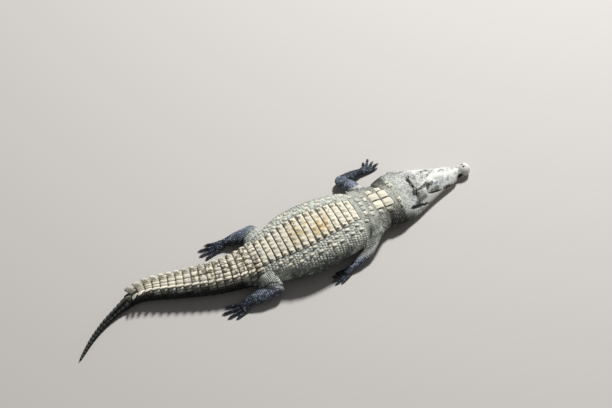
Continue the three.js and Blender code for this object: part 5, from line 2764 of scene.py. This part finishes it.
@dataclass
class TailScales:
    """Whorls of the tail: crest blades, keeled plates between and below them."""

    body: Body
    material: Material
    paired: int = 17
    single: int = 17
    paired_pitch: float = 0.061
    single_pitch: Pair = (0.044, 0.027)
    rise: Quad = (0.016, 0.050, 0.048, 0.014)
    spread: Pair = (0.70, 0.36)
    gap: float = 0.0035
    blade_widths: Pair = (0.030, 0.020)
    blade: ScaleForm = ScaleForm(
        (9, 8), corner=5.0, bevel=0.08, rim=0.7, keel_width=0.62, keel_peak=0.38, keel_flat=0.52,
        lean=0.22, splay=0.24
    )
    plate: ScaleForm = ScaleForm((4, 4), corner=8.0, bevel=0.09, rim=0.7, keel_width=0.5)

    def whorls(self) -> list[Quad]:
        """Place, length, crest height and crest spread (share of half width) of each whorl.

        Returns:
            One row of numbers for each whorl.
        """
        level = (self.paired_pitch, self.paired_pitch)
        stretches = (
            (self.paired, self.paired, level, self.rise[:2], self.spread),
            (self.single + 1, self.single, self.single_pitch, self.rise[2:], (0.0, 0.0))
        )
        rows, start = [], self.body.tail_start
        for count, steps, *ranges in stretches:
            for number in range(count):
                share = number / (steps - 1)
                sizes = [first + (last - first) * share for first, last in ranges]
                rows.append((start, *sizes))
                start += sizes[0]
        return rows

    def _half_width(self, along: float) -> float:
        """Half the width of the tail seen from above.

        Args:
            along: metres down the body.

        Returns:
            Half the width, in metres.
        """
        hide = self.body.hide
        row = min(int(along / hide.step), len(hide.points) - 1)
        ring = hide.points[row]
        return float(np.linalg.norm(np.ptp(ring, axis=0)[:2])) / 2

    def _whorl(
        self, start: float, pitch: float, rise: float, spread: float, draw: np.random.Generator
    ) -> tuple[Spots, Spots]:
        """Blades and plates of one whorl.

        Args:
            start: metres down the body to its front.
            pitch: its length.
            rise: height of its blades.
            spread: how far apart two blades stand, or 0 for one.
            draw: source of luck.

        Returns:
            The blades, and the plates.
        """
        middle = start + pitch / 2
        whole = float(self.body.hide.half_girth(middle))
        half = self._half_width(middle)
        thin = min(1.0, whole / 0.30)
        crest = half * spread * 1.06
        blade_width = self.blade_widths[0 if spread else 1] * (0.5 + 0.5 * thin)
        size = pitch - self.gap
        sides = np.array([-1.0, 1.0]) if spread else np.array([0.0])
        blades = Spots.at(
            middle, sides * crest, length=size, width=blade_width,
            plate=0.004 * (0.4 + 0.6 * thin), keel=rise, cream=0.95
        )
        groups = []
        inner = crest - blade_width / 2
        if spread and inner > 0.012:
            count = max(1, round(inner / 0.040))
            width = inner / count
            places = (np.arange(-count, count) + 0.5) * width
            groups.append(
                Spots.at(
                    middle, places, length=size, width=width - 0.002,
                    plate=0.0048 * (0.5 + 0.5 * thin),
                    keel=draw.uniform(0.006, 0.013, len(places)) * (0.3 + 0.7 * spread), cream=0.95
                )
            )
        outer = crest + blade_width / 2
        count = max(2, round((whole - outer - 0.002) / (0.013 + 0.011 * thin)))
        width = (whole - outer - 0.002) / count
        tiers = np.arange(count)
        share = (tiers + 0.5) / count
        keel = 0.008 * thin * np.where(share < 0.5, 1.0, 0.0)
        cream = np.interp(tiers, [0, 1, 2, 3], [0.60, 0.26, 0.12, 0.0])
        cream *= 1 - 0.9 * float(ease(np.array(middle - self.body.tail_start), 0.34, 0.60))
        cream = np.maximum(cream, 0.5 * ease(share, 0.76, 0.90))
        for sign in SIDES:
            groups.append(
                Spots.at(
                    middle, sign * (outer + (tiers + 0.5) * width), length=size,
                    width=width - 0.0016, plate=0.0040 * (0.5 + 0.5 * thin), keel=keel,
                    cream=cream * draw.uniform(0.7, 1.0, count)
                )
            )
        return blades, Spots.joined(groups)

    def build(self) -> list[Piece]:
        """Models the blades and plates, in two lengths of tail.

        Returns:
            The two pieces.
        """
        draw = np.random.default_rng(SEED + 8)
        front = Coat("tail_scales", Slot.BACK, self.material, SEED + 9)
        end = Coat("tail_end_scales", Slot.TAIL_END, self.material, SEED + 10)
        blade, plate = self.blade.build(), self.plate.build()
        limit = self.body.hide.length - 0.006
        for start, pitch, rise, spread in self.whorls():
            if start + pitch > limit:
                break
            blades, plates = self._whorl(start, pitch, rise, spread, draw)
            fade = 1 - 0.92 * float(ease(np.array(start), 2.14, 2.34))
            blades.cream *= fade
            plates.cream *= fade
            coat = front if start < self.body.end_start - 0.01 else end
            coat.stamp(self.body.hide, blade, blades)
            coat.stamp(self.body.hide, plate, plates)
        return [front.finish(), end.finish()]


@dataclass
class LegScales:
    """Overlapping scales of one leg, and the plates of its toes."""

    leg: Leg
    skin: Skin
    material: Material
    seed: int
    pitch: Pair = (0.0150, 0.0150)
    toe_pitch: float = 0.0095
    scale: ScaleForm = ScaleForm(
        (2, 3), corner=1.7, bevel=0.14, rim=0.5, keel_width=0.8, keel_peak=0.5, rear_lift=0.25
    )
    band: ScaleForm = ScaleForm((2, 3), corner=6.0, bevel=0.12, rim=0.6, keel_width=1.0)

    def build(self) -> Piece:
        """Models the scales of the leg.

        Returns:
            The piece.
        """
        draw = np.random.default_rng(self.seed)
        hide = self.leg.hide
        alongs, acrosses = [], []
        for number, along in staggered(0.01, hide.length, self.pitch[0], draw):
            whole = float(hide.half_girth(along))
            count = max(6, round(2 * whole / self.pitch[1]))
            step = 2 * whole / count
            middles = -whole + (np.arange(count) + 0.5 + 0.25 * (-1) ** number) * step
            middles = middles[np.abs(middles) < whole - 0.5 * step]
            alongs.append(np.full(len(middles), along) + draw.normal(0, 0.0008, len(middles)))
            acrosses.append(middles)
        along, across = np.concatenate(alongs), np.concatenate(acrosses)
        luck = draw.random(len(along))
        top = 1 - np.abs(across) / hide.half_girth(along)
        spots = Spots.at(
            along, across, length=self.pitch[0] * (1.12 + 0.12 * luck),
            width=self.pitch[1] * (0.98 + 0.10 * luck), plate=0.0030,
            keel=0.0025 * ease(top, 0.5, 0.9) * luck
        )
        ahead, behind = (
            hide.place(along + shift, across, np.zeros_like(along)) for shift in (0.004, -0.004)
        )
        spots = spots.kept(np.linalg.norm(ahead - behind, axis=1) > 0.0030)
        spots = self.skin.fitted(hide, spots)
        coat = Coat(f"{self.leg.name}_scales", Slot.LEG, self.material, self.seed)
        coat.stamp(hide, self.scale.build(), spots)
        mould = self.band.build()
        for toe in self.leg.toes:
            coat.stamp(toe, mould, self._toe_plates(toe))
        return coat.finish()

    def _toe_plates(self, toe: Toe) -> Spots:
        """Cross plates over one toe.

        Args:
            toe: the toe.

        Returns:
            Where they sit.
        """
        count = max(3, round(toe.length / self.toe_pitch))
        middles = (np.arange(count) + 0.5) * toe.length / count
        return Spots.joined(
            [
                Spots.at(
                    middles,
                    angle * toe.radius,
                    length=toe.length / count * 0.94,
                    width=width * toe.radius,
                    plate=0.0022,
                )
                for angle, width in ((0.0, 1.35), (1.25, 0.85), (-1.25, 0.85))
            ]
        )


# ---------------------------------------------------------------- claws and teeth


def add_horn(
    form: Form, base: Array, ahead: Array, length: float, radius: float, curl: Array,
    flat: float = 1.0
) -> None:
    """Adds one curved cone.

    Args:
        form: mesh that takes it, with a vertex layer named rise.
        base: middle of its root.
        ahead: direction from root to tip.
        length: length.
        radius: radius at the root.
        curl: how far the tip is bent aside.
        flat: width over height.
    """
    horn = bmesh.new()
    layer = horn.verts.layers.float.new("rise")
    bmesh.ops.create_cone(horn, cap_ends=True, segments=10, radius1=1.0, radius2=0.10, depth=1.0)
    rails = [edge for edge in horn.edges if abs(edge.verts[0].co.z - edge.verts[1].co.z) > 0.5]
    bmesh.ops.subdivide_edges(horn, edges=rails, cuts=4)
    side = unit(np.cross(UP if abs(ahead[2]) < 0.9 else np.array([1.0, 0, 0]), ahead))
    up = np.cross(ahead, side)
    for corner in horn.verts:
        share = corner.co.z + 0.5
        size = radius * (1 - share**1.6 * 0.9) / max(1 - share * 0.9, 0.05)
        place = base + ahead * (share * length) + curl * share**2
        place = place + side * (corner.co.x * size * flat) + up * (corner.co.y * size)
        corner.co = place
        corner[layer] = share
    join_into(form, horn)


@dataclass
class Claws:
    """Claws on the three inner toes of each foot."""

    legs: list[Leg]
    material: Material
    radius: float = 0.0078
    droop: float = 0.004
    height: float = 0.0115
    inset: float = 0.004

    def build(self) -> Piece:
        """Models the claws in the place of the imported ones.

        Returns:
            The piece.
        """
        form = bmesh.new()
        form.verts.layers.float.new("rise")
        names = []
        for leg in self.legs:
            for number, toe in enumerate(leg.toes[: leg.claws]):
                name = f"{leg.name}_claw_{number + 1}"
                names.append(name)
                ahead = unit((toe.end - toe.start) * [1, 1, 0])
                base = toe.end - ahead * self.inset
                base[2] = self.height
                length = leg.claw_length + 0.0025
                add_horn(form, base, ahead, length, self.radius, UP * -self.droop, 0.8)
        return finish_horns(form, "claws", names, Slot.CLAW, self.material)


@dataclass
class Teeth:
    """Teeth that show along the closed mouth."""

    frame: HeadFrame
    skin: Skin
    material: Material
    # Metres back from the snout, and how far the tooth shows.
    upper: tuple[Pair, ...] = (
        (0.020, 0.010), (0.034, 0.013), (0.052, 0.015), (0.072, 0.012), (0.134, 0.010),
        (0.158, 0.013), (0.184, 0.018), (0.212, 0.025), (0.244, 0.027), (0.276, 0.023),
        (0.308, 0.016), (0.338, 0.012), (0.368, 0.011)
    )
    lower: tuple[Pair, ...] = ((0.108, 0.017), (0.171, 0.010), (0.198, 0.010), (0.292, 0.010))
    slim: float = 0.30
    inset: float = 0.30
    sink: float = 0.005
    reach: float = 0.3

    def build(self) -> Piece:
        """Models the teeth along both lips.

        Returns:
            The piece.
        """
        form = bmesh.new()
        form.verts.layers.float.new("rise")
        for rows, way in ((self.upper, -1.0), (self.lower, 1.0)):
            for u, length in rows:
                for side in Side:
                    self._tooth(form, u, length, side, way)
        return finish_horns(form, "teeth", [], Slot.HEAD, self.material)

    def _tooth(self, form: Form, u: float, length: float, side: Side, way: float) -> None:
        """Adds one tooth at the lip.

        Args:
            form: what takes the tooth.
            u: metres back from the snout.
            length: how far it shows.
            side: the side of the mouth.
            way: -1 for an upper tooth, 1 for a lower one.
        """
        height = float(self.frame.mouth_height(np.array(u))) - way * self.sink
        out = self.frame.left * side.value
        start = self.frame.place(u, side.value * self.reach, height)
        hit = self.skin.tree.ray_cast(Vector(start), Vector(-out), self.reach)
        if hit[0] is None:
            return
        beyond = start + UP * way * length * 0.6
        over = self.skin.tree.ray_cast(Vector(beyond), Vector(-out), self.reach)
        swell = 0.0 if over[0] is None else float((over[0] - hit[0]) @ Vector(out))
        radius = length * self.slim
        base = np.array(hit[0]) - out * (radius * self.inset)
        spread = min(0.35 + max(swell, 0.0) / (length * 0.45), 1.8)
        lean = unit(UP * way + out * spread + self.frame.back * 0.10)
        curl = -out * length * 0.25 + self.frame.back * length * 0.10
        add_horn(form, base, lean, length + 0.004, radius, curl)


def finish_horns(
    form: Form, name: str, stands_for: list[str], slot: Slot, material: Material
) -> Piece:
    """Makes a piece of a mesh of horns, and hides the nodes that it replaces.

    Args:
        form: the horns, which are used up.
        name: the piece's name.
        stands_for: the nodes that it replaces.
        slot: the finish that the record gives it.
        material: what the piece is dressed in.

    Returns:
        The piece.
    """
    bmesh.ops.recalc_face_normals(form, faces=form.faces)
    piece = put_in_scene(mesh_of(form, name), name, slot, material)
    if stands_for:
        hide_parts(*stands_for)
    return piece


# ---------------------------------------------------------------- studio


@dataclass
class Studio:
    """Floor, light and camera."""

    aim: Pair = (0.2559, 0.7436)
    azimuth: float = -30.0
    elevation: float = 60.0
    distance: float = 4.0805
    lens: float = 104.78
    floor_size: float = 40.0
    key_from: Triple = (0.52, 0.37, 0.77)
    key_distance: float = 16.0
    key_size: float = 2.4
    key_power: float = 3250.0
    fill: float = 0.14

    def build(self, low: Vector, high: Vector) -> None:
        """Makes the studio round the animal.

        Args:
            low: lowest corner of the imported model.
            high: its highest corner.
        """
        self._floor()
        self._camera(low, high)
        self._light()

    def _floor(self) -> None:
        """Plain pale floor, which is not part of the animal."""
        form = bmesh.new()
        bmesh.ops.create_grid(form, x_segments=1, y_segments=1, size=self.floor_size / 2)
        floor = linked("floor", mesh_of(form, "floor"))
        floor.data.materials.append(FloorFinish().make("studio_floor"))
        floor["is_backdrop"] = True

    def _camera(self, low: Vector, high: Vector) -> None:
        """Camera looking down over the animal's right side.

        Args:
            low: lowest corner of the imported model.
            high: its highest corner.
        """
        turn, tilt = math.radians(self.azimuth), math.radians(self.elevation)
        target = Vector((high.x * self.aim[0], high.y * self.aim[1], 0.0))
        ahead = Vector((-math.sin(turn), math.cos(turn), 0.0))
        back = -ahead * math.cos(tilt) + Vector((0, 0, math.sin(tilt)))
        camera = linked("camera", bpy.data.cameras.new("camera"))
        camera.data.lens = self.lens
        camera.data.clip_end = 100.0
        camera.location = target + back * self.distance * (high.x - low.x)
        camera.rotation_euler = (-back).to_track_quat("-Z", "Y").to_euler()
        bpy.context.scene.camera = camera

    def _light(self) -> None:
        """Soft key light from beyond the left shoulder, and even light all round."""
        lamp = bpy.data.lights.new("key", "AREA")
        lamp.shape = "DISK"
        lamp.size = self.key_size
        lamp.energy = self.key_power
        key = linked("key", lamp)
        way = Vector(self.key_from).normalized()
        key.location = way * self.key_distance
        key.rotation_euler = way.to_track_quat("Z", "Y").to_euler()
        world = bpy.data.worlds.new("studio")
        world.use_nodes = True
        sky = world.node_tree.nodes["Background"]
        sky.inputs["Color"].default_value = (1.0, 1.0, 1.0, 1.0)
        sky.inputs["Strength"].default_value = self.fill
        bpy.context.scene.world = world
        bpy.context.scene.view_settings.view_transform = "Standard"


def main() -> None:
    """Builds the animal and its studio."""
    for thing in list(bpy.data.objects):
        bpy.data.objects.remove(thing)
    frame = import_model()
    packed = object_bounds()
    nodes = frame["nodes"]
    Studio().build(*packed)

    finish = HideFinish().make("hide")
    horn = HornFinish((0.10, 0.09, 0.075), (0.02, 0.018, 0.016), 0.42).make("claw")
    ivory = HornFinish((0.42, 0.36, 0.24), (0.78, 0.74, 0.62), 0.32).make("tooth")
    wet = EyeFinish().make("eye")
    head = HeadFrame.measured(nodes)
    LOG.info("head %.3f long", head.length)
    body = Body(nodes, head)
    LOG.info("body %.3f long, tail from %.3f", body.hide.length, body.tail_start)
    legs = Leg.all_four()
    for leg in legs:
        leg.measure(nodes)
        upper = leg.hide.points[: len(leg.hide.points) // 2].reshape(-1, 3)
        body.hide = body.hide.paler_near(upper, *leg.shoulder)
    for leg in legs:
        leg.hide = leg.hide.marked_from(body.hide, leg.mingle)
    eyes = [Eye(side, head, wet) for side in Side]
    for eye in eyes:
        eye.build()
    armour = Armour(body, finish)
    skin = Skin(nodes, body, legs, HeadSculptor(head, eyes), armour, finish)
    skin.build()
    armour.build()
    scales = BodyScales(body, skin, armour, finish)
    scales.flank()
    scales.belly()
    scales.neck()
    TailScales(body, finish).build()
    for number, leg in enumerate(legs):
        LegScales(leg, skin, finish, SEED + 20 + number).build()
    Claws(legs, horn).build()
    Teeth(head, skin, ivory).build()


if __name__ == "__main__":
    logging.basicConfig(level=logging.INFO, format="%(message)s")
    main()
